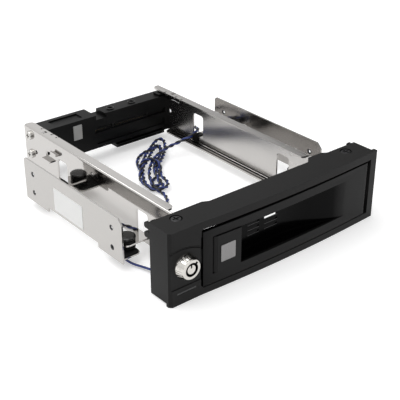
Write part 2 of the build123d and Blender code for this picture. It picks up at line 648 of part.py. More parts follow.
def make_door():
    """Hinged door with the finger scoop, vents and the lock staple."""
    slab = bowed_slab(DOOR_LEFT_X, DOOR_RIGHT_X, DOOR_LOW_Z, DOOR_HIGH_Z, 0, DOOR_THICKNESS)
    corner = Vector(DOOR_RIGHT_X, face_y(DOOR_RIGHT_X), DOOR_LOW_Z)
    edge = slab.edges().filter_by(Axis.Z).sort_by_distance(corner)[0]
    door = fillet(edge, DOOR_CORNER_R)
    wall = SCOOP_WALL
    door += scoop_block(SCOOP_LEFT_X - wall, wall, SCOOP_LOW_Z - wall, SCOOP_HIGH_Z + wall)
    door -= scoop_block(SCOOP_LEFT_X, 0, SCOOP_LOW_Z, SCOOP_HIGH_Z)
    pocket_back = LATCH_PIN_Y + LATCH_SIDE_GAP + SHEET / 2
    door -= block(POCKET_LEFT_X, SCOOP_LEFT_X - wall, -THROUGH, SCOOP_BACK_Y, SCOOP_LOW_Z, SCOOP_HIGH_Z)
    door -= block(POCKET_LEFT_X, SCOOP_LEFT_X + SHEET, -THROUGH, pocket_back, SCOOP_LOW_Z, SCOOP_HIGH_Z)
    for x0, x1 in VENT_COLUMNS:
        for row in range(VENT_ROWS):
            z = VENT_FIRST_Z + row * VENT_PITCH
            low, high = z - VENT_HEIGHT / 2, z + VENT_HEIGHT / 2
            door -= block(x0, x1, SCOOP_BACK_Y - SHEET, SCOOP_BACK_Y + THROUGH, low, high)
    door += rod_z(HINGE_X, HINGE_Y, DOOR_LOW_Z, CRANK_LOW_Z, KNUCKLE_R)
    door += rod_z(HINGE_X, HINGE_Y, UPPER_KNUCKLE_Z, DOOR_HIGH_Z, KNUCKLE_R)
    z0, z1 = LOCK_Z - STAPLE_HEIGHT / 2, LOCK_Z + STAPLE_HEIGHT / 2
    back = STAPLE_FRONT_Y + STAPLE_THICKNESS
    root = face_y(STAPLE_POST_X[0]) + DOOR_THICKNESS / 2
    door += block(*STAPLE_POST_X, root, back, z0, z1)
    door += block(STAPLE_TIP_X, STAPLE_POST_X[1], STAPLE_FRONT_Y, back, z0, z1)
    bore = HINGE_PIN_R + RUNNING_GAP
    door -= rod_z(HINGE_X, HINGE_Y, DOOR_LOW_Z - SHEET, DOOR_LOW_Z + PIN_IN_DOOR + SEAT_GAP, bore)
    door -= rod_z(HINGE_X, HINGE_Y, DOOR_HIGH_Z - PIN_IN_DOOR - SEAT_GAP, DOOR_HIGH_Z + SHEET, bore)
    pin_low = SCOOP_LOW_Z - PIN_END_DEPTH
    pin_high = SCOOP_HIGH_Z + PIN_END_DEPTH
    door -= rod_z(LATCH_PIN_X, LATCH_PIN_Y, pin_low, pin_high, LATCH_PIN_R + SEAT_GAP)
    return door


def make_door_hinge_pins():
    """Upper and lower pins that carry the door in the bezel."""
    low = DOOR_LOW_Z - HINGE_BOSS_GAP - PIN_IN_BEZEL
    high = DOOR_HIGH_Z + HINGE_BOSS_GAP + PIN_IN_BEZEL
    lower = rod_z(HINGE_X, HINGE_Y, low, DOOR_LOW_Z + PIN_IN_DOOR, HINGE_PIN_R)
    upper = rod_z(HINGE_X, HINGE_Y, DOOR_HIGH_Z - PIN_IN_DOOR, high, HINGE_PIN_R)
    return Compound(children=[lower, upper])


def make_eject_crank():
    """Crank arm that sits on the door's lower knuckle."""
    top = CRANK_LOW_Z + CRANK_THICKNESS
    hub = rod_z(HINGE_X, HINGE_Y, CRANK_LOW_Z, top, KNUCKLE_R)
    eye = rod_z(CRANK_PIN_X, CRANK_PIN_Y, CRANK_LOW_Z, top, CRANK_EYE_R)
    middle_x, middle_y = (HINGE_X + CRANK_PIN_X) / 2, (HINGE_Y + CRANK_PIN_Y) / 2
    bar = Pos(middle_x, middle_y, (CRANK_LOW_Z + top) / 2) * Rot(0, 0, CRANK_REST_DEG)
    bar = bar * Box(CRANK_RADIUS, 2 * CRANK_EYE_R, CRANK_THICKNESS)
    heel = block(HINGE_X - 5, HINGE_X + KNUCKLE_R, SKIN_BACK_Y + SLIDER_GAP, HINGE_Y, CRANK_LOW_Z, top)
    crank = hub + eye + bar + heel
    slab_back = DOOR_THICKNESS + SEAT_GAP
    crank -= bowed_slab(SCOOP_RIGHT_X, DOOR_RIGHT_X, CRANK_LOW_Z - 1, top + 1, -1, slab_back)
    return crank - rod_z(CRANK_PIN_X, CRANK_PIN_Y, CRANK_LOW_Z, top, CRANK_PIN_R + SEAT_GAP)


def make_crank_pin():
    """Pin of the crank, which drives the slider's cross slot."""
    top = TAB_LOW_Z + SHEET + CRANK_PIN_TOP
    return rod_z(CRANK_PIN_X, CRANK_PIN_Y, CRANK_LOW_Z, top, CRANK_PIN_R)


def make_door_latch():
    """Latch pad with its hinge barrel and two hook arms."""
    pad = bowed_slab(
        LATCH_PIN_X, LATCH_RIGHT_X, LATCH_LOW_Z, LATCH_HIGH_Z, -LATCH_PROUD, LATCH_THICKNESS - LATCH_PROUD
    )
    latch = pad + rod_z(LATCH_PIN_X, LATCH_PIN_Y, LATCH_LOW_Z, LATCH_HIGH_Z, LATCH_BARREL_R)
    tip_x = OPENING_LEFT_X + ARM_TIP_GAP
    back = ARM_FRONT_Y + ARM_THICKNESS
    for z in (ARM_LOW_Z, ARM_HIGH_Z):
        root_x = LATCH_PIN_X - 0.8 * LATCH_BARREL_R
        points = [
            (root_x, LATCH_PIN_Y), (LATCH_PIN_X + 1.2, LATCH_PIN_Y), (LATCH_PIN_X + 1.2, back),
            (tip_x, back), (tip_x, ARM_FRONT_Y - BARB_DEPTH),
            (tip_x + BARB_DEPTH, ARM_FRONT_Y - BARB_DEPTH),
            (tip_x + 2 * BARB_DEPTH, ARM_FRONT_Y), (root_x, ARM_FRONT_Y),
        ]
        latch += plan_polygon(points, z, z + ARM_HEIGHT)
    z0, z1 = SPRING_POCKET_Z
    pocket_r = SPRING_R + SPRING_WIRE_R + RUNNING_GAP
    pocket_right = LATCH_PIN_X + LATCH_BARREL_R + SEAT_GAP
    latch -= rod_z(LATCH_PIN_X, LATCH_PIN_Y, z0, z1, pocket_r)
    latch -= block(POCKET_LEFT_X - SHEET, pocket_right, LATCH_PIN_Y, THROUGH, z0, z1)
    latch -= rod_z(LATCH_PIN_X, LATCH_PIN_Y, 0, BEZEL_HEIGHT, LATCH_PIN_R + RUNNING_GAP)
    half = BADGE_SIZE / 2 + SEAT_GAP
    seat = badge_seat_y()
    x0, x1 = BADGE_CENTRE_X - half, BADGE_CENTRE_X + half
    latch -= block(x0, x1, seat - THROUGH, seat, BADGE_CENTRE_Z - half, BADGE_CENTRE_Z + half)
    return latch


def badge_seat_y():
    """Flat seat of the badge in the bowed pad."""
    return face_y(BADGE_CENTRE_X) - LATCH_PROUD + 0.6 * BADGE_THICKNESS


def make_badge_plate():
    """Square blank plate on the latch pad."""
    half = BADGE_SIZE / 2
    seat = badge_seat_y()
    x0, x1 = BADGE_CENTRE_X - half, BADGE_CENTRE_X + half
    plate = block(x0, x1, seat - BADGE_THICKNESS, seat, BADGE_CENTRE_Z - half, BADGE_CENTRE_Z + half)
    return fillet(plate.edges().filter_by(Axis.Y), 0.6)


def make_latch_pin():
    """Vertical pin of the latch pad, held in the door."""
    low = SCOOP_LOW_Z - PIN_END_DEPTH + SEAT_GAP
    high = SCOOP_HIGH_Z + PIN_END_DEPTH - SEAT_GAP
    return rod_z(LATCH_PIN_X, LATCH_PIN_Y, low, high, LATCH_PIN_R)


def make_latch_spring():
    """Torsion spring round the latch pin with its two legs."""
    height = SPRING_PITCH * SPRING_TURNS
    coil_path = Helix(SPRING_PITCH, height, SPRING_R)
    start = Plane(origin=coil_path @ 0, z_dir=coil_path % 0)
    coil = sweep(start * Circle(SPRING_WIRE_R), path=coil_path, is_frenet=True)
    coil = Pos(LATCH_PIN_X, LATCH_PIN_Y, SPRING_LOW_Z) * Rot(0, 0, 90) * coil
    leg_y = LATCH_PIN_Y + SPRING_R
    right_end = LATCH_PIN_X + 5
    right = rod_x(leg_y, SPRING_LOW_Z, LATCH_PIN_X - SPRING_WIRE_R, right_end, SPRING_WIRE_R)
    left_end = POCKET_LEFT_X + SPRING_WIRE_R
    left = rod_x(leg_y, SPRING_LOW_Z + height, left_end, LATCH_PIN_X + SPRING_WIRE_R, SPRING_WIRE_R)
    return coil + right + left


def make_lock_barrel():
    """Lock barrel with its tapered flange and the ring-shaped key slot."""
    rim_y = FLAT_FRONT_Y + ARCH_DEPTH
    depth = rim_y - LOCK_FACE_Y
    middle_y = (rim_y + LOCK_FACE_Y) / 2
    flange = Pos(LOCK_X, middle_y, LOCK_Z) * Rot(90, 0, 0) * Cone(LOCK_FLANGE_R, LOCK_FACE_R, depth)
    flange = fillet(flange.edges().sort_by(Axis.Y)[0], LOCK_EDGE_R)
    barrel = flange + rod_y(LOCK_X, LOCK_Z, rim_y, LOCK_BARREL_END_Y, LOCK_BARREL_R)
    barrel -= rod_y(LOCK_X, LOCK_Z, -THROUGH, THROUGH, LOCK_CORE_R + RUNNING_GAP)
    half = KEY_NOTCH / 2
    slot_end = LOCK_FACE_Y + KEY_SLOT_DEPTH
    notch = block(-half, half, -THROUGH, slot_end, LOCK_CORE_R - SHEET, LOCK_CORE_R + SHEET)
    return barrel - Pos(LOCK_X, 0, LOCK_Z) * Rot(0, KEY_NOTCH_DEG, 0) * notch


def make_lock_core():
    """Turning core: nose, body, square drive and the cam screw's head."""
    slot_y = LOCK_FACE_Y + KEY_SLOT_DEPTH
    nose = rod_y(LOCK_X, LOCK_Z, LOCK_FACE_Y + SLIDER_GAP, slot_y, LOCK_NOSE_R)
    notch_low = LOCK_Z + LOCK_NOSE_R - NOSE_NOTCH_DEPTH
    half_notch = NOSE_NOTCH / 2
    nose -= block(LOCK_X - half_notch, LOCK_X + half_notch, -THROUGH, slot_y, notch_low, notch_low + 2)
    body = rod_y(LOCK_X, LOCK_Z, slot_y, CAM_FRONT_Y, LOCK_CORE_R)
    half = CAM_SQUARE / 2
    cam_back = CAM_FRONT_Y + CAM_THICKNESS
    drive = block(LOCK_X - half, LOCK_X + half, CAM_FRONT_Y, cam_back, LOCK_Z - half, LOCK_Z + half)
    head = rod_y(LOCK_X, LOCK_Z, cam_back, cam_back + CAM_SCREW_HEAD, CAM_SCREW_R)
    return nose + body + drive + head


def make_lock_cam():
    """Cam bar on the core, hanging down when the lock is open."""
    back = CAM_FRONT_Y + CAM_THICKNESS
    half = CAM_WIDTH / 2
    cam = rod_y(LOCK_X, LOCK_Z, CAM_FRONT_Y, back, CAM_HUB_R)
    tip_z = LOCK_Z - CAM_REACH
    cam += block(LOCK_X - half, LOCK_X + half, CAM_FRONT_Y, back, tip_z, LOCK_Z)
    hole = CAM_SQUARE / 2 + SEAT_GAP
    return cam - block(LOCK_X - hole, LOCK_X + hole, 0, THROUGH, LOCK_Z - hole, LOCK_Z + hole)


def make_lock_nut():
    """Hexagon nut that holds the barrel in the bezel."""
    flats = RegularPolygon(NUT_FLATS / 2, 6, major_radius=False)
    nut = Pos(LOCK_X, SKIN_BACK_Y, LOCK_Z) * Rot(-90, 0, 0) * extrude(flats, amount=NUT_THICKNESS)
    return nut - rod_y(LOCK_X, LOCK_Z, -THROUGH, THROUGH, LOCK_BARREL_R + SEAT_GAP)


def make_led_light_pipe():
    """Clear bar behind the slot below the lock."""
    half = LIGHT_HEIGHT / 2 - SEAT_GAP
    x0, x1 = LIGHT_LEFT_X + SEAT_GAP, LIGHT_RIGHT_X - SEAT_GAP
    return block(x0, x1, FLAT_FRONT_Y + 0.1, LIGHT_BACK_Y, LIGHT_Z - half, LIGHT_Z + half)


def make_led_board():
    """Small board with two lamps and the cable header."""
    y0 = LIGHT_BACK_Y + BOARD_BACK_GAP
    low = CAVITY_LOW_Z + RUNNING_GAP
    board = block(LIGHT_LEFT_X, LIGHT_RIGHT_X, y0, y0 + BOARD_THICKNESS, low, low + BOARD_HEIGHT)
    for x in (LIGHT_LEFT_X + 3, LIGHT_RIGHT_X - 3):
        board += block(x - 1.2, x + 1.2, LIGHT_BACK_Y + SEAT_GAP, y0, LIGHT_Z - 0.7, LIGHT_Z + 0.7)
    header_y = y0 + BOARD_THICKNESS
    half_x, half_z = HEADER_SIZE[0] / 2, HEADER_SIZE[1] / 2
    header_z = (HEADER_Z - half_z, HEADER_Z + half_z)
    board += block(HEADER_X - half_x, HEADER_X + half_x, header_y, header_y + HEADER_DEPTH, *header_z)
    return board


def sheet_section(points, outer_corners, inner_corners, y0, y1):
    """Folded sheet: a closed X and Z outline with rounded bends, run along Y."""
    face = make_face(Polyline(*[(x, y0, z) for x, z in points], close=True).edges())
    corners = face.vertices()
    outer = [corners.sort_by_distance(Vector(x, y0, z))[0] for x, z in outer_corners]
    face = fillet(outer, BEND_OUT_R)
    corners = face.vertices()
    inner = [corners.sort_by_distance(Vector(x, y0, z))[0] for x, z in inner_corners]
    face = fillet(inner, BEND_IN_R)
    return extrude(face, amount=y1 - y0, dir=(0, 1, 0))


def end_round(x, y, inward, along, radius, z0, z1):
    """Cutter that rounds one plan corner; inward and along are +1 or -1."""
    corner = block(x, x + inward * radius, y, y + along * radius, z0, z1)
    return corner - rod_z(x + inward * radius, y + along * radius, z0, z1, radius)


def wall_profile():
    """Channel with an inward flange on top and a drive rail at the bottom."""
    tip = WALL_OUTER_X - FLANGE_WIDTH
    points = [
        (tip, WALL_LOW_Z), (WALL_OUTER_X, WALL_LOW_Z), (WALL_OUTER_X, WALL_HIGH_Z), (tip, WALL_HIGH_Z),
        (tip, WALL_HIGH_Z - SHEET), (WALL_INNER_X, WALL_HIGH_Z - SHEET),
        (WALL_INNER_X, WALL_LOW_Z + SHEET), (tip, WALL_LOW_Z + SHEET),
    ]
    outer = [(WALL_OUTER_X, WALL_LOW_Z), (WALL_OUTER_X, WALL_HIGH_Z)]
    inner = [(WALL_INNER_X, WALL_HIGH_Z - SHEET), (WALL_INNER_X, WALL_LOW_Z + SHEET)]
    return sheet_section(points, outer, inner, WALL_FRONT_Y, WALL_BACK_Y)


def wall_window(y_centre, high):
    """Window left by a ledge that is bent out of the wall."""
    half = WINDOW_WIDTH / 2
    low = LEDGE_TOP_Z
    hole = block(WALL_INNER_X - 2, WALL_OUTER_X + 2, y_centre - half, y_centre + half, low, high)
    top = hole.edges().filter_by(Axis.X).group_by(Axis.Z)[-1]
    return fillet(top, WINDOW_R)


def wall_ledge(y_centre):
    """Ledge bent outwards, with the hole for the damper's neck."""
    half = WINDOW_WIDTH / 2
    low = LEDGE_TOP_Z - SHEET
    ledge = block(WALL_INNER_X, LEDGE_REACH_X, y_centre - half, y_centre + half, low, LEDGE_TOP_Z)
    for along, y in ((1, y_centre - half), (-1, y_centre + half)):
        ledge -= end_round(LEDGE_REACH_X, y, -1, along, TAB_CORNER_R, low - 1, LEDGE_TOP_Z + 1)
    return ledge - rod_z(DAMPER_X, y_centre, low - 1, LEDGE_TOP_Z + 1, DAMPER_NECK_R + SEAT_GAP)


def plain_wall(window_top):
    """Right wall with everything that both walls share."""
    wall = wall_profile()
    tip = WALL_OUTER_X - FLANGE_WIDTH
    bend = WALL_INNER_X - BEND_IN_R
    high = WALL_HIGH_Z - BEND_OUT_R
    low = WALL_LOW_Z + BEND_OUT_R
    wall -= block(tip - 1, bend, 0, FLANGE_FRONT_Y, high, WALL_HIGH_Z + 1)
    wall -= block(tip - 1, bend, 0, FLANGE_FRONT_Y, WALL_LOW_Z - 1, low)
    wall -= block(tip - 1, bend, RAIL_BACK_Y, WALL_BACK_Y + 1, WALL_LOW_Z - 1, low)
    for y, along in ((FLANGE_FRONT_Y, 1), (WALL_BACK_Y, -1)):
        wall -= end_round(tip, y, 1, along, FLANGE_END_R, high, WALL_HIGH_Z + 1)
    for y, along in ((FLANGE_FRONT_Y, 1), (RAIL_BACK_Y, -1)):
        wall -= end_round(tip, y, 1, along, FLANGE_END_R, WALL_LOW_Z - 1, low)
    ear_top = WALL_HIGH_Z - BEND_OUT_R / 2
    wall += block(WALL_INNER_X, WALL_OUTER_X, EAR_FRONT_Y, WALL_FRONT_Y + 2, EAR_TAB_Z, ear_top)
    tab = block(WALL_INNER_X, EAR_TAB_X, *EAR_TAB_Y, EAR_TAB_Z, EAR_TAB_Z + SHEET)
    wall += fillet(tab.edges().filter_by(Axis.Z).group_by(Axis.X)[-1], TAB_CORNER_R)
    wall -= rod_z(FIX_X, FIX_Y, EAR_TAB_Z - 1, WALL_HIGH_Z, FIX_SHANK_R + SEAT_GAP)
    for y in DAMPER_YS:
        wall -= wall_window(y, window_top)
        wall += wall_ledge(y)
    for z in REAR_SCREW_Z:
        wall -= rod_x(REAR_SCREW_Y, z, tip, WALL_OUTER_X + 1, REAR_SCREW_R + RUNNING_GAP)
    for number in range(4):
        y = SLIT_FIRST_Y + number * SLIT_PITCH
        half = SLIT_WIDTH * (1.2 if number == 2 else 0.5)
        x0 = tip + (1.4 if number == 2 else -1)
        wall -= block(x0, x0 + SLIT_LENGTH, y - half, y + half, high, WALL_HIGH_Z + 1)
    wall -= rod_x(SPY_HOLE_Y, SPY_HOLE_Z, tip, WALL_OUTER_X + 1, SPY_HOLE_R)
    return wall


def make_right_wall():
    """Right wall with the ejector's slot, rivet holes and the cable hole."""
    wall = plain_wall(RIGHT_WINDOW_Z)
    x0, x1 = WALL_INNER_X - 1, WALL_OUTER_X + 1
    back = SLIDER_BACK_Y + FINGER_SLOT_GAP
    front = SLIDER_BACK_Y - SLIDER_THICKNESS - EJECT_TRAVEL - FINGER_SLOT_GAP
    z0, z1 = FINGER_Z[0] - SLIDER_GAP, FINGER_Z[1] + SLIDER_GAP
    wall -= block(x0, x1, front, back, z0, z1)
    middle = (SLIDER_LOW_Z + SLIDER_HIGH_Z) / 2
    for y in GUIDE_RIVET_Y:
        wall -= rod_x(y, middle, x0, x1, GUIDE_RIVET_R + SEAT_GAP)
    return wall - rod_x(CABLE_HOLE_Y, CABLE_HOLE_Z, x0, x1, CABLE_R + CABLE_HOLE_GAP)


def make_left_wall():
    """Left wall with the small lanced hook near its back end."""
    wall = mirrored(plain_wall(LEFT_WINDOW_Z))
    x_out = -WALL_OUTER_X
    x_face = x_out - HOOK_PROUD
    hole = Polyline(*[(x_out - 1, y, z) for y, z in HOOK_HOLE], close=True)
    wall -= extrude(make_face(hole.edges()), amount=SHEET + 2, dir=(1, 0, 0))
    fin = Polyline(*[(x_face, y, z) for y, z in HOOK_FIN], close=True)
    wall += extrude(make_face(fin.edges()), amount=SHEET, dir=(1, 0, 0))
    fin_top = HOOK_FIN[2][1]
    wall += block(x_face, x_out, HOOK_FIN[2][0] + SHEET, HOOK_FIN[1][0], fin_top - SHEET, fin_top)
    wall += block(x_face, x_out, *HOOK_TAB_Y, HOOK_TAB_Z, HOOK_TAB_Z + SHEET)
    wall += block(x_face, x_face + SHEET, *HOOK_TAB_Y, HOOK_TAB_Z, HOOK_TAB_Z + HOOK_TAB_TURN)
    return wall


def plain_bracket():
    """Right mounting bracket: side plate with two bottom tabs."""
    x0, x1 = BRACKET_INNER_X, BRACKET_OUTER_X
    plate = block(x0, x1, BRACKET_FRONT_Y, BRACKET_BACK_Y, BRACKET_LOW_Z, BRACKET_HIGH_Z)
    corner = plate.edges().filter_by(Axis.X).group_by(Axis.Z)[-1].sort_by(Axis.Y)
    plate = chamfer(corner[0], BRACKET_CORNER)
    plate = fillet(plate.edges().filter_by(Axis.X).group_by(Axis.Z)[-1].sort_by(Axis.Y)[-1], 2.0)
    raised_top = BRACKET_LOW_Z + BRACKET_RAISE
    plate -= block(x0 - 1, x1 + 1, *BRACKET_RAISE_Y, BRACKET_LOW_Z - 1, raised_top)
    for y0, y1 in (TAB_Y_FRONT, TAB_Y_REAR):
        tab = block(TAB_INNER_X, x1, y0, y1, BRACKET_LOW_Z, BRACKET_LOW_Z + SHEET)
        tab = fillet(tab.edges().filter_by(Axis.Z).group_by(Axis.X)[0], TAB_CORNER_R)
        plate += tab
    for y in DAMPER_YS:
        plate -= rod_z(DAMPER_X, y, BRACKET_LOW_Z - 1, BRACKET_LOW_Z + 2, DAMPER_SHANK_R + SEAT_GAP)
    for y in MOUNT_YS:
        for z in MOUNT_ZS:
            plate -= rod_x(y, z, x0 - 1, x1 + 1, MOUNT_HOLE_R)
    return plate


def make_blank_label():
    """Bare label on the left bracket."""
    x = -BRACKET_OUTER_X
    return block(x - LABEL_THICKNESS, x, *LABEL_Y, *LABEL_Z)


def damper_pad(side, y):
    """Rubber pad round the damper's foot on the bracket's tab."""
    tab_y0, tab_y1 = TAB_Y_FRONT if y == DAMPER_YS[0] else TAB_Y_REAR
    low = BRACKET_LOW_Z + SHEET
    x0 = side * (TAB_INNER_X + PAD_MARGIN)
    x1 = side * (BRACKET_INNER_X - SEAT_GAP)
    pad = block(x0, x1, tab_y0 + PAD_MARGIN, tab_y1 - PAD_MARGIN, low, low + PAD_THICKNESS)
    inner = pad.edges().filter_by(Axis.Z).sort_by_distance(Vector(0, y, low))[:2]
    return fillet(inner, TAB_CORNER_R - PAD_MARGIN)


def make_damper(side, y):
    """Rubber damper: a lower body, a neck in the ledge and an upper body."""
    low = BRACKET_LOW_Z + SHEET
    ledge_low = LEDGE_TOP_Z - SHEET
    half = (ledge_low - low) / 2
    body = rod_z(side * DAMPER_X, y, low, ledge_low, DAMPER_WAIST_R)
    body += rod_z(side * DAMPER_X, y, low + half / 2, ledge_low - half / 2, DAMPER_R)
    body += rod_z(side * DAMPER_X, y, ledge_low, LEDGE_TOP_Z, DAMPER_NECK_R)
    body += rod_z(side * DAMPER_X, y, LEDGE_TOP_Z, DAMPER_TOP_Z, DAMPER_R)
    body += damper_pad(side, y)
    return body - rod_z(side * DAMPER_X, y, low - 1, DAMPER_TOP_Z + 1, DAMPER_SHANK_R + SEAT_GAP)


def make_damper_screws():
    """Four broad-headed shoulder screws through the dampers."""
    screws = []
    for side in (-1, 1):
        for y in DAMPER_YS:
            x = side * DAMPER_X
            head = rod_z(x, y, DAMPER_TOP_Z, DAMPER_TOP_Z + DAMPER_CAP, DAMPER_CAP_R)
            head = fillet(head.edges().sort_by(Axis.Z)[-1], DAMPER_CAP_ROUND)
            shank = rod_z(x, y, BRACKET_LOW_Z, DAMPER_TOP_Z, DAMPER_SHANK_R)
            screws.append(head + shank)
    return Compound(children=screws)


def housing_shape():
    """Rear housing: cheeks, block, notch, bar, clip tower and ledge."""
    side = WALL_INNER_X - HOUSING_SIDE_GAP
    y0, y1 = HOUSING_FRONT_Y, HOUSING_BACK_Y
    housing = block(-side, side, y0, y1, HOUSING_LOW_Z, HOUSING_BAR_Z)
    housing += block(*HOUSING_BLOCK_X, y0 - 2, y1, HOUSING_LOW_Z + 6, HOUSING_BLOCK_Z)
    for cheek in (-1, 1):
        x0, x1 = cheek * (side - 6), cheek * side
        housing += block(x0, x1, y0, y1, WALL_LOW_Z + BEND_OUT_R + RUNNING_GAP, HOUSING_BAR_Z)
    housing -= block(*HOUSING_NOTCH_X, y0 - 3, y1 + 1, HOUSING_NOTCH_Z, HOUSING_BLOCK_Z + 1)
    housing += block(*CLIP_TOWER_X, y0 + 2, y1 - 4, HOUSING_BAR_Z - 1, CLIP_TOWER_Z)
    ledge_front = y1 - HOUSING_LEDGE_DEPTH
    housing += block(*HOUSING_LEDGE_X, ledge_front, y1, *HOUSING_LEDGE_Z)
    housing += block(*HOUSING_LEDGE_X, ledge_front + 2, y1, HOUSING_LEDGE_Z[0], HOUSING_LOW_Z + 1)
    lid = HOUSING_BLOCK_Z - 0.8
    x0, x1 = HOUSING_BLOCK_X
    housing -= block(x0 + 7, x1 - 8, y0 + 1.5, y1 - 3, lid, HOUSING_BLOCK_Z + 1)
    tower_x = (CLIP_TOWER_X[0] + CLIP_TOWER_X[1]) / 2
    half = CLIP_TOWER_SLOT / 2
    housing -= block(tower_x - half, tower_x + half, y0, y1, HOUSING_BAR_Z + HOUSING_TOP_LIP, THROUGH * 2)
    lip_end = CLIP_TOWER_X[0] - 1
    lip_top = HOUSING_BAR_Z + HOUSING_TOP_LIP
    housing += block(HOUSING_NOTCH_X[1], lip_end, y0, y0 + 1, HOUSING_BAR_Z - 1, lip_top)
    groove = HOUSING_GROOVE
    panel_x = (HOUSING_NOTCH_X[0] + 1, WALL_OUTER_X - 6)
    housing -= block(*panel_x, y0 - 1, y0 + groove, *HOUSING_PANEL_Z)
    groove_z = (HOUSING_LEDGE_Z[0] + HOUSING_LEDGE_Z[1]) / 2
    groove_x = (HOUSING_LEDGE_X[0] + 2, HOUSING_LEDGE_X[1] - 2)
    housing -= block(*groove_x, ledge_front - 1, ledge_front + groove, groove_z - 0.4, groove_z + 0.4)
    for x in HOUSING_RING_X:
        ring = rod_z(x, (y0 + y1) / 2, HOUSING_BAR_Z, HOUSING_BAR_Z + 0.6, HOUSING_RING_R)
        ring -= rod_z(x, (y0 + y1) / 2, HOUSING_BAR_Z - 1, HOUSING_BAR_Z + 1, HOUSING_RING_R - 1)
        housing += ring
    return housing


def make_rear_housing():
    """Rear housing with its pocket, connector opening and screw holes."""
    housing = housing_shape()
    y0, y1 = HOUSING_FRONT_Y, HOUSING_BACK_Y
    housing -= block(*POCKET_X, POCKET_FRONT_Y, y1 + 1, *POCKET_Z)
    x0, x1 = SOCKET_X
    z0, z1 = SOCKET_Z
    housing -= block(x0 - PCB_GAP, x1 + PCB_GAP, y0 - 3, y1, z0 - PCB_GAP, z1 + PCB_GAP)
    band_end = WALL_OUTER_X - 5.2
    housing -= block(x0 - 3, band_end, y0 - 1, y0 + SOCKET_INSET, z0, z1)
    gx0, gx1 = GUIDE_X
    housing -= block(gx0, gx1, y0 - 3, y0 - 1, *GUIDE_Z)
    side = WALL_INNER_X - HOUSING_SIDE_GAP
    for cheek in (-1, 1):
        for z in REAR_SCREW_Z:
            end = cheek * (WALL_OUTER_X - REAR_SCREW_LENGTH - 0.5)
            housing -= rod_x(REAR_SCREW_Y, z, end, cheek * (side + 1), REAR_SCREW_R + SEAT_GAP)
    depth = side - CABLE_SOCKET_DEPTH
    return housing - rod_x(CABLE_HOLE_Y, CABLE_HOLE_Z, depth, side + 1, CABLE_R + CABLE_HOLE_GAP / 2)


def make_guide_plate():
    """Pale plate set in the front of the housing's block."""
    y0 = HOUSING_FRONT_Y - 2
    x0, x1 = GUIDE_X
    z0, z1 = GUIDE_Z
    gap = SEAT_GAP
    return block(x0 + gap, x1 - gap, y0 - 0.4, y0 + 1 - gap, z0 + gap, z1 - gap)


def make_rear_screws():
    """Four pan-head screws through the walls into the housing."""
    screw = rod_x(REAR_SCREW_Y, 0, WALL_OUTER_X - REAR_SCREW_LENGTH, WALL_OUTER_X, REAR_SCREW_R)
    head = rod_x(REAR_SCREW_Y, 0, WALL_OUTER_X, WALL_OUTER_X + REAR_SCREW_HEAD, REAR_SCREW_HEAD_R)
    head = fillet(head.edges().sort_by(Axis.X)[-1], 0.9)
    for size in ((1.6, 0.4), (0.4, 1.6)):
        head -= Pos(WALL_OUTER_X + REAR_SCREW_HEAD, REAR_SCREW_Y, 0) * Box(1.6, 2 * size[0], 2 * size[1])
    screw += head
    pair = [Pos(0, 0, z) * screw for z in REAR_SCREW_Z]
    return Compound(children=[*pair, *[mirrored(one) for one in pair]])


def make_backplane_pcb():
    """Circuit board in the housing's pocket."""
    x0, x1 = POCKET_X
    z0, z1 = POCKET_Z
    gap = PCB_GAP
    y0 = POCKET_FRONT_Y
    return block(x0 + gap, x1 - gap, y0, y0 + PCB_THICKNESS, z0 + gap, z1 - gap)


def make_drive_connector():
    """Drive socket on the board's front, with the tongue's slot."""
    x0, x1 = SOCKET_X
    z0, z1 = SOCKET_Z
    socket = block(x0, x1, SOCKET_FRONT_Y, POCKET_FRONT_Y, z0, z1)
    split = x0 + 0.36 * (x1 - x0)
    middle = (z0 + z1) / 2
    half = SOCKET_TONGUE
    slot_end = SOCKET_FRONT_Y + SOCKET_SLOT_DEPTH
    for a, b in ((x0 + 1.2, split - 0.8), (split + 0.8, x1 - 1.2)):
        socket -= block(a, b, SOCKET_FRONT_Y - 1, slot_end, middle - half, middle + half)
        socket += block(a + 0.8, b - 0.8, SOCKET_FRONT_Y + 0.4, slot_end, middle - 0.6, middle + 0.4)
    return socket


def rear_connector(span, pins):
    """Shrouded connector on the board's back with its row of pins."""
    x0, x1 = span
    z0, z1 = PLUG_Z
    y0 = POCKET_FRONT_Y + PCB_THICKNESS
    shell = block(x0, x1, y0, PLUG_BACK_Y, z0, z1)
    shell -= block(x0 + 1, x1 - 1, y0 + 2, PLUG_BACK_Y + 1, z0 + 1, z1 - 1)
    pitch = (x1 - x0 - 4) / pins
    for number in range(pins):
        x = x0 + 2 + (number + 0.5) * pitch
        z = (z0 + z1) / 2
        shell += block(x - 0.4, x + 0.4, y0 + 1, PLUG_BACK_Y - 1.5, z - 0.4, z + 0.4)
    return shell


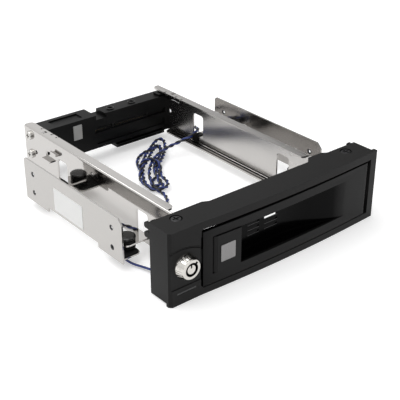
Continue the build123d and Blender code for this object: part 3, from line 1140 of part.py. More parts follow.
def make_eject_slider():
    """Flat slider: front tab with a cross slot, long strip, rear finger."""
    x0, x1 = SLIDER_X, SLIDER_X + SLIDER_THICKNESS
    strip = block(x0, x1, SLIDER_NECK_Y, SLIDER_BACK_Y, SLIDER_LOW_Z, SLIDER_HIGH_Z)
    neck = block(x0, x1, TAB_BACK_Y - 6, SLIDER_NECK_Y, TAB_LOW_Z, SLIDER_NECK_Z)
    tab = block(x0, TAB_REACH_X, TAB_FRONT_Y, TAB_BACK_Y, TAB_LOW_Z, TAB_LOW_Z + SHEET)
    tab = fillet(tab.edges().filter_by(Axis.Z).group_by(Axis.X)[-1], 0.6)
    finger_front = SLIDER_BACK_Y - SLIDER_THICKNESS
    finger = block(FINGER_X, x1, finger_front, SLIDER_BACK_Y, *FINGER_Z)
    slider = strip + neck + tab + finger
    half = CRANK_PIN_R + CROSS_SLOT_GAP
    low = TAB_LOW_Z - 1
    slider -= block(*CROSS_SLOT_X, CRANK_PIN_Y - half, CRANK_PIN_Y + half, low, low + 3)
    middle = (SLIDER_LOW_Z + SLIDER_HIGH_Z) / 2
    for y in GUIDE_RIVET_Y:
        slot_r = GUIDE_RIVET_R + GUIDE_SLOT_GAP
        slider -= slot_x(y, y + EJECT_TRAVEL, middle, slot_r, x0 - 1, x1 + 1)
    return slider


def make_slider_rivets():
    """Three shouldered rivets that guide the slider on the wall."""
    middle = (SLIDER_LOW_Z + SLIDER_HIGH_Z) / 2
    head_x = SLIDER_X + SLIDER_THICKNESS + SLIDER_GAP
    rivets = []
    for y in GUIDE_RIVET_Y:
        shank = rod_x(y, middle, WALL_INNER_X, head_x, GUIDE_RIVET_R)
        head = rod_x(y, middle, head_x, head_x + GUIDE_RIVET_HEAD, GUIDE_RIVET_HEAD_R)
        rivets.append(shank + fillet(head.edges().sort_by(Axis.X)[-1], 0.5))
    return Compound(children=rivets)


def make_cable_clip():
    """Saddle on the window's sill, with a leg inside the wall."""
    top = block(*CLIP_X, *CLIP_Y, LEDGE_TOP_Z + SEAT_GAP, CLIP_TOP_Z)
    leg = block(CLIP_X[0], WALL_INNER_X - SEAT_GAP, *CLIP_Y, CLIP_LEG_Z, CLIP_TOP_Z)
    return top + leg


def cable_tube(points):
    """Round cable along straight runs joined by large tangent arcs."""
    vectors = [Vector(*p) for p in points]
    radii = []
    for before, here, after in zip(vectors, vectors[1:], vectors[2:]):
        turn = math.radians((here - before).get_angle(after - here))
        shorter = min((here - before).length, (after - here).length)
        radii.append(0.45 * shorter / math.tan(turn / 2))
    print("cable bend radii", [round(r, 1) for r in radii])
    path = FilletPolyline(*points, radius=radii)
    start = Plane(origin=path @ 0, z_dir=path % 0)
    tube = sweep(start * Circle(CABLE_R), path=path)
    print("cable tube length", round(path.length, 1), "volume ratio", round(
        tube.volume / (math.pi * CABLE_R**2 * path.length), 4))
    return tube


def make_rear_cable():
    """Cable from the housing round through the window to the hank."""
    start = (WALL_INNER_X - HOUSING_SIDE_GAP - CABLE_SOCKET_DEPTH, CABLE_HOLE_Y, CABLE_HOLE_Z)
    return cable_tube([start, *REAR_CABLE_ROUTE])


def header_back_y():
    """Back face of the header on the indicator board."""
    return LIGHT_BACK_Y + BOARD_BACK_GAP + BOARD_THICKNESS + HEADER_DEPTH


def make_front_cable():
    """Cable from the hank under the left wall into the bezel."""
    return cable_tube([*FRONT_CABLE_ROUTE, (HEADER_X, header_back_y(), HEADER_Z)])


def end_cutter(end, before):
    """Block that gives the hank a flat face at the end of a cable tube."""
    end, before = Vector(*end), Vector(*before)
    return Plane(origin=end, z_dir=before - end) * Pos(0, 0, 5) * Box(9, 9, 10)


def make_cable_hank():
    """Outer shape of the loose hank that lies on the floor of the cage."""
    outline = make_face(Polyline(*HANK_OUTLINE, close=True).edges())
    outline = fillet(outline.vertices(), HANK_BEND_R)
    hank = extrude(outline, amount=HANK_HEIGHT, dir=(0, 0, 1))
    hank = chamfer(hank.edges().group_by(Axis.Z)[-1], HANK_EDGE_STEP)
    hank -= end_cutter(REAR_CABLE_ROUTE[-1], REAR_CABLE_ROUTE[-2])
    return hank - end_cutter(FRONT_CABLE_ROUTE[0], FRONT_CABLE_ROUTE[1])


def export_node(name, shape):
    """Move a finished piece to the part's origin and write it."""
    moved = Pos(0, -MID_Y, 0) * shape
    export_step(moved, f"parts/{name}.step")


def all_nodes():
    """Every piece by the name of its file."""
    front, rear = DAMPER_YS
    return {
        "bezel": make_bezel(),
        "bezel_screws": make_bezel_screws(),
        "door": make_door(),
        "door_hinge_pins": make_door_hinge_pins(),
        "eject_crank": make_eject_crank(),
        "crank_pin": make_crank_pin(),
        "door_latch": make_door_latch(),
        "latch_pin": make_latch_pin(),
        "latch_spring": make_latch_spring(),
        "badge_plate": make_badge_plate(),
        "lock_barrel": make_lock_barrel(),
        "lock_core": make_lock_core(),
        "lock_cam": make_lock_cam(),
        "lock_nut": make_lock_nut(),
        "led_light_pipe": make_led_light_pipe(),
        "led_board": make_led_board(),
        "left_wall": make_left_wall(),
        "right_wall": make_right_wall(),
        "left_bracket": mirrored(plain_bracket()),
        "right_bracket": plain_bracket(),
        "blank_label": make_blank_label(),
        "left_front_damper": make_damper(-1, front),
        "left_rear_damper": make_damper(-1, rear),
        "right_front_damper": make_damper(1, front),
        "right_rear_damper": make_damper(1, rear),
        "damper_screws": make_damper_screws(),
        "rear_housing": make_rear_housing(),
        "guide_plate": make_guide_plate(),
        "rear_screws": make_rear_screws(),
        "backplane_pcb": make_backplane_pcb(),
        "drive_connector": make_drive_connector(),
        "power_connector": rear_connector(POWER_X, 4),
        "data_connector": rear_connector(DATA_X, 7),
        "eject_slider": make_eject_slider(),
        "slider_rivets": make_slider_rivets(),
        "cable_clip": make_cable_clip(),
        "rear_cable": make_rear_cable(),
        "cable_hank": make_cable_hank(),
        "front_cable": make_front_cable(),
    }


def main():
    os.makedirs("parts", exist_ok=True)
    for name, shape in all_nodes().items():
        export_node(name, shape)


main()
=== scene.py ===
import math

import bmesh
import bpy
import numpy as np
from mathutils import Matrix, Vector


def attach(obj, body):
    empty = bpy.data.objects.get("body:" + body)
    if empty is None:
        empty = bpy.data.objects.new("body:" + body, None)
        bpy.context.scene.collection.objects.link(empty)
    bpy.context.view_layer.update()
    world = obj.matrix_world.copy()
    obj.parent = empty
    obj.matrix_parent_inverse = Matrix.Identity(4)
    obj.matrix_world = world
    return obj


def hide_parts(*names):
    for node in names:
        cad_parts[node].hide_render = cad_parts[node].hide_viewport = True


# Looks for the hot swap drive cage. Sizes are written in millimetres with Y = 0 on the back of the
# front lip, as in the part's source, and spot() turns them into metres in the shared frame.

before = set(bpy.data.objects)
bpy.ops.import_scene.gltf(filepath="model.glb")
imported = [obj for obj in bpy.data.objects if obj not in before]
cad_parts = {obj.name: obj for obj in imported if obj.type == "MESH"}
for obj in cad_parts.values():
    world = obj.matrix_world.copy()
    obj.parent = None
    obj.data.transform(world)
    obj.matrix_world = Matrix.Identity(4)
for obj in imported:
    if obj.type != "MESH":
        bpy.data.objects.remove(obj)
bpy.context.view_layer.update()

LIP_BACK = 81.4


def spot(points):
    """Millimetres measured from the lip to metres in the shared frame."""
    return (np.asarray(points, float) - (0.0, LIP_BACK, 0.0)) / 1000.0


# Camera, light and floor

VIEW_FROM = (-301.81, -302.98, 262.94)
VIEW_ALONG = (0.5599, 0.6804, -0.4729)
LENS_MM = 83.46


def set_camera():
    """Camera at the photograph's angle, without shift."""
    data = bpy.data.cameras.new("photo_camera")
    data.sensor_width = 36.0
    data.lens = LENS_MM
    data.clip_start = 0.01
    camera = bpy.data.objects.new("photo_camera", data)
    bpy.context.collection.objects.link(camera)
    turn = Vector(VIEW_ALONG).to_track_quat("-Z", "Y").to_matrix().to_4x4()
    camera.matrix_world = Matrix.Translation(Vector(spot(VIEW_FROM))) @ turn
    bpy.context.scene.camera = camera


def soft_box(name, place, aim, width, height, power):
    """Rectangular studio light that looks at a point; places in metres."""
    data = bpy.data.lights.new(name, "AREA")
    data.shape = "RECTANGLE"
    data.size, data.size_y = width, height
    data.energy = power
    lamp = bpy.data.objects.new(name, data)
    bpy.context.collection.objects.link(lamp)
    lamp.location = place
    lamp.rotation_euler = (Vector(aim) - Vector(place)).to_track_quat("-Z", "Y").to_euler()


def seen_rays(tree):
    """1 for camera, glossy and transmission rays, 0 for light that falls on the object."""
    path = tree.nodes.new("ShaderNodeLightPath")
    first = tree.nodes.new("ShaderNodeMath")
    first.operation = "MAXIMUM"
    second = tree.nodes.new("ShaderNodeMath")
    second.operation = "MAXIMUM"
    tree.links.new(path.outputs["Is Camera Ray"], first.inputs[0])
    tree.links.new(path.outputs["Is Glossy Ray"], first.inputs[1])
    tree.links.new(first.outputs[0], second.inputs[0])
    tree.links.new(path.outputs["Is Transmission Ray"], second.inputs[1])
    return second.outputs[0]


# Grey tones of the surroundings: each pair is a place along a direction's Z or X, and the tone there.
TONES_BY_HEIGHT = ((0.16, 1.0), (0.46, 0.72), (0.95, 0.9))
TONES_ACROSS = ((0.51, 1.0), (0.57, 0.62), (0.64, 0.5), (0.7, 0.03))
SHARE_ACROSS = ((0.12, 0.0), (0.3, 1.0), (0.6, 1.0), (0.8, 0.0))
SKY_STRENGTH = 0.5


def grey_ramp(tree, value, marks):
    """Grey tones at given places along a value."""
    ramp = tree.nodes.new("ShaderNodeValToRGB")
    stops = ramp.color_ramp.elements
    for number, (place, tone) in enumerate(marks):
        stop = stops[number] if number < 2 else stops.new(place)
        stop.position = place
        stop.color = (tone, tone, tone, 1)
    tree.links.new(value, ramp.inputs[0])
    return ramp.outputs[0]


def set_world():
    """What is seen: white at the horizon and grey above it, with a band between two heights that falls
    from white on the left to dark on the right, as a large soft box would show. What lights: an even
    grey."""
    world = bpy.data.worlds.new("studio")
    world.use_nodes = True
    tree = world.node_tree
    tree.nodes.clear()
    coords = tree.nodes.new("ShaderNodeTexCoord")
    parts = tree.nodes.new("ShaderNodeSeparateXYZ")
    both = tree.nodes.new("ShaderNodeMix")
    both.data_type = "RGBA"
    seen = tree.nodes.new("ShaderNodeBackground")
    light = tree.nodes.new("ShaderNodeBackground")
    light.inputs["Color"].default_value = (1, 1, 1, 1)
    light.inputs["Strength"].default_value = SKY_STRENGTH
    mix = tree.nodes.new("ShaderNodeMixShader")
    out = tree.nodes.new("ShaderNodeOutputWorld")
    link = tree.links.new
    link(coords.outputs["Generated"], parts.inputs[0])
    link(grey_ramp(tree, parts.outputs["Z"], SHARE_ACROSS), both.inputs[0])
    link(grey_ramp(tree, parts.outputs["Z"], TONES_BY_HEIGHT), both.inputs[6])
    link(grey_ramp(tree, parts.outputs["X"], TONES_ACROSS), both.inputs[7])
    link(both.outputs[2], seen.inputs["Color"])
    link(seen_rays(tree), mix.inputs[0])
    link(light.outputs[0], mix.inputs[1])
    link(seen.outputs[0], mix.inputs[2])
    link(mix.outputs[0], out.inputs["Surface"])
    bpy.context.scene.world = world


FLOOR_HALF = 4.0
FLOOR_BELOW = 0.00005
FLOOR_TONE = 0.84
FLOOR_GLOW = 0.4


def set_floor():
    """Wide white floor that keeps the soft shadow and is otherwise as white as the backdrop."""
    side = FLOOR_HALF
    corners = [(-side, -side, 0), (side, -side, 0), (side, side, 0), (-side, side, 0)]
    mesh = bpy.data.meshes.new("studio_floor")
    mesh.from_pydata(corners, [], [(0, 1, 2, 3)])
    floor = bpy.data.objects.new("studio_floor", mesh)
    bpy.context.collection.objects.link(floor)
    floor.location.z = -FLOOR_BELOW
    paint = bpy.data.materials.new("floor_white")
    paint.use_nodes = True
    tree = paint.node_tree
    tree.nodes.clear()
    flat = tree.nodes.new("ShaderNodeBsdfDiffuse")
    flat.inputs["Color"].default_value = (FLOOR_TONE, FLOOR_TONE, FLOOR_TONE, 1)
    glow = tree.nodes.new("ShaderNodeEmission")
    glow.inputs["Strength"].default_value = FLOOR_GLOW
    none = tree.nodes.new("ShaderNodeEmission")
    none.inputs["Strength"].default_value = 0.0
    pick = tree.nodes.new("ShaderNodeMixShader")
    both = tree.nodes.new("ShaderNodeAddShader")
    out = tree.nodes.new("ShaderNodeOutputMaterial")
    link = tree.links.new
    link(seen_rays(tree), pick.inputs[0])
    link(none.outputs[0], pick.inputs[1])
    link(glow.outputs[0], pick.inputs[2])
    link(flat.outputs[0], both.inputs[0])
    link(pick.outputs[0], both.inputs[1])
    link(both.outputs[0], out.inputs["Surface"])
    mesh.materials.append(paint)


# Each lamp: name, place, the point it looks at, width and height in metres, and power in watts.
SOFT_BOXES = (
    ("overhead_box", (-0.35, 0.15, 1.3), (0, 0, 0), 1.3, 1.3, 11.0),
    ("front_left_box", (-1.0, -0.75, 0.75), (0, 0, 0.02), 0.8, 0.6, 1.0),
    ("rear_left_box", (-0.18, 0.82, 0.86), (0, 0, 0.02), 0.24, 0.24, 0.7),
)

set_camera()
set_world()
set_floor()
for box in SOFT_BOXES:
    soft_box(*box)
bpy.context.scene.view_settings.view_transform = "Standard"


# Finishes

def finish_of(name, colour, roughness, metallic=0.0, **sockets):
    """A Principled material, its node tree and its shader, with plain sockets set."""
    material = bpy.data.materials.new(name)
    material.use_nodes = True
    tree = material.node_tree
    shader = tree.nodes["Principled BSDF"]
    shader.inputs["Base Color"].default_value = (*colour, 1)
    shader.inputs["Roughness"].default_value = roughness
    shader.inputs["Metallic"].default_value = metallic
    for label, value in sockets.items():
        shader.inputs[label.replace("_", " ")].default_value = value
    return material, tree, shader


def grain(tree, scale, detail=3.0, stretch=(1, 1, 1)):
    """Noise on object coordinates, stretched along an axis where a stretch is under 1."""
    coords = tree.nodes.new("ShaderNodeTexCoord")
    place = tree.nodes.new("ShaderNodeMapping")
    place.inputs["Scale"].default_value = stretch
    noise = tree.nodes.new("ShaderNodeTexNoise")
    noise.inputs["Scale"].default_value = scale
    noise.inputs["Detail"].default_value = detail
    tree.links.new(coords.outputs["Object"], place.inputs["Vector"])
    tree.links.new(place.outputs["Vector"], noise.inputs["Vector"])
    return noise.outputs["Fac"]


NOISE_SPAN = (0.3, 0.7)
WHOLE_SPAN = (0.0, 1.0)


def spread(tree, value, low, high, span=NOISE_SPAN):
    """Maps a value's span, that of noise unless another is given, to low .. high."""
    reach = tree.nodes.new("ShaderNodeMapRange")
    reach.inputs["From Min"].default_value, reach.inputs["From Max"].default_value = span
    reach.inputs["To Min"].default_value = low
    reach.inputs["To Max"].default_value = high
    tree.links.new(value, reach.inputs["Value"])
    return reach.outputs["Result"]


def relief(tree, shader, value, height_mm, strength):
    """Bump of a given height in millimetres."""
    bump = tree.nodes.new("ShaderNodeBump")
    bump.inputs["Strength"].default_value = strength
    bump.inputs["Distance"].default_value = height_mm / 1000.0
    tree.links.new(value, bump.inputs["Height"])
    tree.links.new(bump.outputs["Normal"], shader.inputs["Normal"])


def tint(tree, shader, value, dark, light):
    """Colour that drifts between two tones with a value."""
    mix = tree.nodes.new("ShaderNodeMix")
    mix.data_type = "RGBA"
    mix.inputs[6].default_value = (*dark, 1)
    mix.inputs[7].default_value = (*light, 1)
    tree.links.new(value, mix.inputs[0])
    tree.links.new(mix.outputs[2], shader.inputs["Base Color"])


SPARK_GRAIN = 3200.0


def moulded_black(name, dark, light, roughness, grain_mm=0.02, gleam=0.14):
    """Fine spark-eroded black plastic."""
    material, tree, shader = finish_of(name, light, roughness, Specular_IOR_Level=gleam)
    fine = grain(tree, SPARK_GRAIN, 2.0)
    broad = grain(tree, 22.0, 3.0)
    relief(tree, shader, fine, grain_mm, 0.5)
    tree.links.new(spread(tree, broad, roughness - 0.05, roughness + 0.06), shader.inputs["Roughness"])
    tint(tree, shader, broad, dark, light)
    return material


ROLLED_ALONG_Y = (1, 0.02, 1)


def polished_sheet(name, colour, roughness):
    """Bright rolled stainless: faint streaks along the sheet and slow changes of gloss."""
    material, tree, shader = finish_of(name, colour, roughness, 1.0)
    streak = grain(tree, 900.0, 3.0, ROLLED_ALONG_Y)
    cloud = grain(tree, 16.0, 2.0)
    relief(tree, shader, streak, 0.004, 0.35)
    tree.links.new(spread(tree, cloud, roughness * 0.7, roughness * 1.5), shader.inputs["Roughness"])
    return material


def plated(name, colour, roughness, scuff_mm=0.006):
    """Plated screw or lock metal with light scuffs."""
    material, tree, shader = finish_of(name, colour, roughness, 1.0)
    scuff = grain(tree, 700.0, 4.0)
    tree.links.new(spread(tree, scuff, roughness * 0.7, roughness * 1.8), shader.inputs["Roughness"])
    relief(tree, shader, scuff, scuff_mm, 0.4)
    return material


BLACK_BEZEL = moulded_black("bezel_black", (0.0078, 0.0076, 0.0076), (0.0108, 0.0105, 0.0105), 0.42)
BLACK_DOOR = moulded_black("door_black", (0.0062, 0.0061, 0.0062), (0.0084, 0.0082, 0.0083), 0.38)
BLACK_HOUSING = moulded_black(
    "housing_black", (0.0018, 0.0018, 0.0019), (0.0032, 0.0032, 0.0033), 0.36, gleam=0.11
)
SHEET_WALL = polished_sheet("wall_stainless", (0.52, 0.505, 0.49), 0.07)
SHEET_RIGHT = polished_sheet("right_wall_stainless", (0.52, 0.505, 0.49), 0.2)
SHEET_BRACKET = polished_sheet("bracket_stainless", (0.465, 0.452, 0.437), 0.16)
# Darker copy of the bracket stainless: painted shade for the far bracket.
SHEET_FAR_SHADED = polished_sheet("far_bracket_shaded_stainless", (0.42, 0.405, 0.39), 0.11)
SLIDER_BLACK = moulded_black("slider_black", (0.006, 0.006, 0.006), (0.009, 0.009, 0.009), 0.4)
SCREW = plated("screw_plate", (0.55, 0.54, 0.52), 0.18)
BLACK_SCREW = plated("black_screw", (0.05, 0.05, 0.052), 0.28)
LOCK = plated("lock_nickel", (0.62, 0.60, 0.565), 0.1, 0.002)
CAP = moulded_black("damper_cap", (0.006, 0.006, 0.0065), (0.010, 0.010, 0.0105), 0.16, 0.004, 0.4)
# Near-black for painted shade: strips laid where only shade falls, under the arch and in the rails'
# channels.
SHADE_BLACK = moulded_black("painted_shade_black", (0.0010, 0.0010, 0.0010), (0.0016, 0.0016, 0.0016), 0.7, 0.01, 0.03)
# Grey for painted highlights: the lit lower edges of the vents and the lit rims of the housing's rings.
HIGHLIGHT_GREY = moulded_black("painted_highlight_grey", (0.030, 0.030, 0.030), (0.042, 0.042, 0.042), 0.3, 0.004, 0.5)
RUBBER = moulded_black("damper_rubber", (0.006, 0.006, 0.006), (0.011, 0.011, 0.011), 0.55, 0.04)
SOCKET = moulded_black("socket_black", (0.011, 0.011, 0.011), (0.016, 0.016, 0.016), 0.42)


SCOOP_START_YS = (-3.9, -2.6)


def door_with_shaded_scoop():
    """Door plastic whose scoop behind the face is polished, and darker by painted shade: every value
    changes from the face's to the scoop's over SCOOP_START_YS."""
    base = (0.01, 0.01, 0.01)
    material, tree, shader = finish_of("door_face_and_shaded_scoop", base, 0.4, Specular_IOR_Level=0.14)
    coords = tree.nodes.new("ShaderNodeTexCoord")
    parts = tree.nodes.new("ShaderNodeSeparateXYZ")
    tree.links.new(coords.outputs["Object"], parts.inputs[0])
    start = [spot((0, y, 0))[1] for y in SCOOP_START_YS]
    depth = spread(tree, parts.outputs["Y"], 0.0, 1.0, start)
    tree.links.new(spread(tree, depth, 0.42, 0.16, WHOLE_SPAN), shader.inputs["Roughness"])
    tree.links.new(spread(tree, depth, 0.15, 0.06, WHOLE_SPAN), shader.inputs["Specular IOR Level"])
    # Painted shade: the colour falls from the face's to near black behind it, in the scoop and on the
    # door's sides.
    tint(tree, shader, depth, (0.0064, 0.0062, 0.0063), (0.0009, 0.0009, 0.0010))
    relief(tree, shader, grain(tree, SPARK_GRAIN, 2.0), 0.015, 0.35)
    return material


DOOR_FACE = door_with_shaded_scoop()


def paper_label():
    """Blank white label with a faint paper tooth."""
    material, tree, shader = finish_of("label_paper", (0.9, 0.9, 0.89), 0.45)
    tooth = grain(tree, 1500.0, 4.0)
    tint(tree, shader, tooth, (0.88, 0.88, 0.87), (0.93, 0.93, 0.92))
    relief(tree, shader, tooth, 0.01, 0.3)
    return material


def solder_mask():
    """Green board: dark lacquer over a faint grid of tracks."""
    material, tree, shader = finish_of("board_green", (0.012, 0.09, 0.035), 0.25, Coat_Weight=0.6)
    tracks = tree.nodes.new("ShaderNodeTexBrick")
    tracks.inputs["Scale"].default_value = 260.0
    tracks.inputs["Color1"].default_value = (0.010, 0.075, 0.030, 1)
    tracks.inputs["Color2"].default_value = (0.013, 0.092, 0.038, 1)
    tracks.inputs["Mortar"].default_value = (0.020, 0.14, 0.055, 1)
    coords = tree.nodes.new("ShaderNodeTexCoord")
    turn = tree.nodes.new("ShaderNodeMapping")
    turn.inputs["Rotation"].default_value = (math.pi / 2, 0, 0)
    tree.links.new(coords.outputs["Object"], turn.inputs["Vector"])
    tree.links.new(turn.outputs["Vector"], tracks.inputs["Vector"])
    tree.links.new(tracks.outputs["Color"], shader.inputs["Base Color"])
    relief(tree, shader, grain(tree, 400.0), 0.01, 0.3)
    return material


def soft_sheath(name, dark, light):
    """Thin PVC sheath of a wire."""
    material, tree, shader = finish_of(name, light, 0.38, Specular_IOR_Level=0.55)
    drift = grain(tree, 260.0, 2.0)
    tint(tree, shader, drift, dark, light)
    relief(tree, shader, drift, 0.02, 0.3)
    return material


def milky_bar():
    """Clear bar of the indicator light, a little frosted."""
    material, tree, shader = finish_of("light_bar", (0.02, 0.021, 0.022), 0.24, Coat_Weight=0.2)
    tree.links.new(spread(tree, grain(tree, 900.0), 0.2, 0.4), shader.inputs["Roughness"])
    return material


def satin_badge():
    """Satin metal plate with a fine vertical brush."""
    material, tree, shader = finish_of("badge_satin", (0.24, 0.235, 0.235), 0.3, 1.0)
    brush = grain(tree, 2400.0, 2.0, (1, 1, 0.04))
    tree.links.new(spread(tree, brush, 0.22, 0.42), shader.inputs["Roughness"])
    relief(tree, shader, brush, 0.004, 0.4)
    return material


LABEL = paper_label()
BOARD = solder_mask()
BLUE_WIRE = soft_sheath("wire_blue", (0.010, 0.022, 0.13), (0.020, 0.045, 0.23))
BLACK_WIRE = soft_sheath("wire_black", (0.006, 0.006, 0.008), (0.012, 0.012, 0.015))
LIGHT_BAR = milky_bar()
BADGE = satin_badge()
GOLD = plated("contact_gold", (0.30, 0.23, 0.12), 0.3)
TIN = plated("solder_tin", (0.62, 0.62, 0.60), 0.3)
IVORY = soft_sheath("connector_ivory", (0.55, 0.53, 0.46), (0.62, 0.60, 0.53))
GREY_PLATE = soft_sheath("guide_grey", (0.36, 0.36, 0.35), (0.42, 0.42, 0.41))


# Meshes

def new_piece(name, mesh, body, material, replaced=()):
    """Links a finished mesh, with its place in its vertices, to a body."""
    piece = bpy.data.objects.new(name, mesh)
    bpy.context.collection.objects.link(piece)
    if material is not None:
        mesh.materials.append(material)
    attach(piece, body)
    if replaced:
        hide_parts(*replaced)
    return piece


def smooth_by_angle(mesh, degrees):
    """Smooth faces, with an edge left sharp where its faces meet at more than the angle."""
    work = bmesh.new()
    work.from_mesh(mesh)
    limit = math.radians(degrees)
    for face in work.faces:
        face.smooth = True
    for edge in work.edges:
        edge.smooth = len(edge.link_faces) == 2 and edge.calc_face_angle(0.0) < limit
    work.to_mesh(mesh)
    work.free()


def surface(name, points, round_u=False, round_v=False, caps=False, sharp=40.0):
    """Quads over a grid of points[u, v]; round_u and round_v join its ends, caps fill the two u ends."""
    nu, nv = points.shape[:2]
    index = np.arange(nu * nv).reshape(nu, nv)
    rows = index if not round_u else np.vstack([index, index[:1]])
    rows = rows if not round_v else np.hstack([rows, rows[:, :1]])
    quads = np.stack([rows[:-1, :-1], rows[:-1, 1:], rows[1:, 1:], rows[1:, :-1]], -1).reshape(-1, 4)
    faces = quads.tolist()
    if caps:
        faces.append(index[0].tolist())
        faces.append(index[-1][::-1].tolist())
    mesh = bpy.data.meshes.new(name)
    mesh.from_pydata(points.reshape(-1, 3).tolist(), [], faces)
    work = bmesh.new()
    work.from_mesh(mesh)
    bmesh.ops.remove_doubles(work, verts=work.verts, dist=1e-7)
    bmesh.ops.recalc_face_normals(work, faces=work.faces)
    work.to_mesh(mesh)
    work.free()
    smooth_by_angle(mesh, sharp)
    return mesh


def joined(name, meshes):
    """One mesh out of several, each with its own material slot kept in order."""
    work = bmesh.new()
    materials = []
    for mesh in meshes:
        start = len(work.faces)
        work.from_mesh(mesh)
        work.faces.ensure_lookup_table()
        for face in work.faces[start:]:
            face.material_index = len(materials)
        materials.append(mesh.materials[0])
    whole = bpy.data.meshes.new(name)
    work.to_mesh(whole)
    work.free()
    for material in materials:
        whole.materials.append(material)
    return whole


def rounded(profile, radius, steps=4):
    """Profile in a plane whose inner corners become arcs: each corner is cut back and a quadratic
    curve is carried from one cut to the other."""
    points = np.asarray(profile, float)
    out = [points[0]]
    for before, here, after in zip(points, points[1:], points[2:]):
        back, ahead = before - here, after - here
        reach = min(radius, 0.45 * np.linalg.norm(back), 0.45 * np.linalg.norm(ahead))
        a = here + back / np.linalg.norm(back) * reach
        b = here + ahead / np.linalg.norm(ahead) * reach
        t = np.linspace(0, 1, steps)[:, None]
        out.extend((1 - t) ** 2 * a + 2 * t * (1 - t) * here + t**2 * b)
    out.append(points[-1])
    return np.array(out)


def turned(name, centre, profile, axis="z", steps=40, sharp=35.0):
    """Profile of (radius, height) pairs turned about an axis through the centre:
    P(u, v) = centre + r(v) (cos u, sin u) across the axis + h(v) along it."""
    profile = np.asarray(profile, float)
    angle = np.linspace(0, 2 * math.pi, steps, endpoint=False)[:, None]
    r, h = profile[:, 0][None], profile[:, 1][None] + 0 * angle
    across, up = r * np.cos(angle), r * np.sin(angle)
    order = {"z": (across, up, h), "y": (across, h, up), "x": (h, across, up)}[axis]
    points = np.stack(order, -1) + np.asarray(centre, float)
    return surface(name, spot(points), round_u=True, sharp=sharp)


SAME_POINT = 1e-6
FLAT_DEGREES = 0.6
SHARP_DEGREES = 30.0


def eased(node, radius, material, body, segments=2, drawn=None):
    """Copy of a CAD node with its flat facets merged and its edges rounded, in place of the node.
    drawn, if given, maps the copy's points in millimetres to where they are wanted."""
    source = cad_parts[node].data
    name = node + "_finished"
    mesh = bpy.data.meshes.new(name)
    work = bmesh.new()
    work.from_mesh(source)
    bmesh.ops.remove_doubles(work, verts=work.verts, dist=SAME_POINT)
    flat = math.radians(FLAT_DEGREES)
    bmesh.ops.dissolve_limit(work, angle_limit=flat, verts=work.verts, edges=work.edges)
    work.to_mesh(mesh)
    work.free()
    if drawn:
        points = np.empty(len(mesh.vertices) * 3)
        mesh.vertices.foreach_get("co", points)
        points = points.reshape(-1, 3) * 1000.0 + (0.0, LIP_BACK, 0.0)
        mesh.vertices.foreach_set("co", spot(drawn(points)).ravel())
    mesh.materials.clear()
    smooth_by_angle(mesh, SHARP_DEGREES)
    piece = new_piece(name, mesh, body, material, (node,))
    if radius:
        bevel = piece.modifiers.new("eased_edges", "BEVEL")
        bevel.width = radius / 1000.0
        bevel.segments = segments
        bevel.limit_method = "ANGLE"
        bevel.angle_limit = math.radians(SHARP_DEGREES)
        bevel.harden_normals = True
        bevel.use_clamp_overlap = True


# Rigid pieces

LOCK_X, LOCK_Z = -63.8, 21.0
FACE_RIM_R, FACE_RIM_Y, FACE_RIM_IN = 5.0, -6.0, 0.9
NOTCH_HALF, NOTCH_BACK_Y = 0.5, -4.0
NOTCH_FLOOR, NOTCH_FLOOR_DRAWN, NOTCH_REACH = 1.8, 0.7, 0.08
DOOR_LEFT_X, DOOR_TOP_Z = -53.6, 37.2
DOOR_EDGE, DOOR_RUN = 1.9, 115.0
DOOR_LEFT_IN, DOOR_TOP_DOWN, DOOR_TOP_LESS = 0.5, 1.3, 0.8
LIT_VENT_XS, LIT_VENT_Z, LIT_VENT_Y = (-5.6, 4.2), 23.45, 5.0
LIT_VENT_REACH, LIT_VENT_DOWN = 0.05, 0.95


def lock_cone(points):
    """Draws the rim of the lock's face in by FACE_RIM_IN, so that the cone behind it leans more."""
    across, up = points[:, 0] - LOCK_X, points[:, 2] - LOCK_Z
    radius = np.hypot(across, up)
    rim = (radius > FACE_RIM_R) & (points[:, 1] < FACE_RIM_Y)
    pull = np.where(rim, (radius - FACE_RIM_IN) / np.maximum(radius, 1.0), 1.0)
    return np.column_stack([LOCK_X + across * pull, points[:, 1], LOCK_Z + up * pull])


def nose_notch(points):
    """Takes the floor of the notch in the lock's nose down to NOTCH_FLOOR_DRAWN above its middle."""
    across, up = points[:, 0] - LOCK_X, points[:, 2] - LOCK_Z
    floor = (abs(across) < NOTCH_HALF) & (abs(up - NOTCH_FLOOR) < NOTCH_REACH)
    floor &= points[:, 1] < NOTCH_BACK_Y
    return np.column_stack([points[:, :2], LOCK_Z + np.where(floor, NOTCH_FLOOR_DRAWN, up)])


def door_gap(points):
    """Draws the door's left edge in, and its top edge down, by less towards the right, for the dark gap
    round the door. Slopes the floor of one vent down to the back, so that the light behind shows."""
    x, y, z = points.T
    left = np.where(x < DOOR_LEFT_X + DOOR_EDGE, DOOR_LEFT_IN, 0.0)
    drop = DOOR_TOP_DOWN - DOOR_TOP_LESS * np.clip((x - DOOR_LEFT_X) / DOOR_RUN, 0, 1)
    vent = (x > LIT_VENT_XS[0]) & (x < LIT_VENT_XS[1])
    vent &= (abs(z - LIT_VENT_Z) < LIT_VENT_REACH) & (y > LIT_VENT_Y)
    down = np.where(z > DOOR_TOP_Z - DOOR_EDGE, drop, np.where(vent, LIT_VENT_DOWN, 0.0))
    return np.column_stack([x + left, y, z - down])


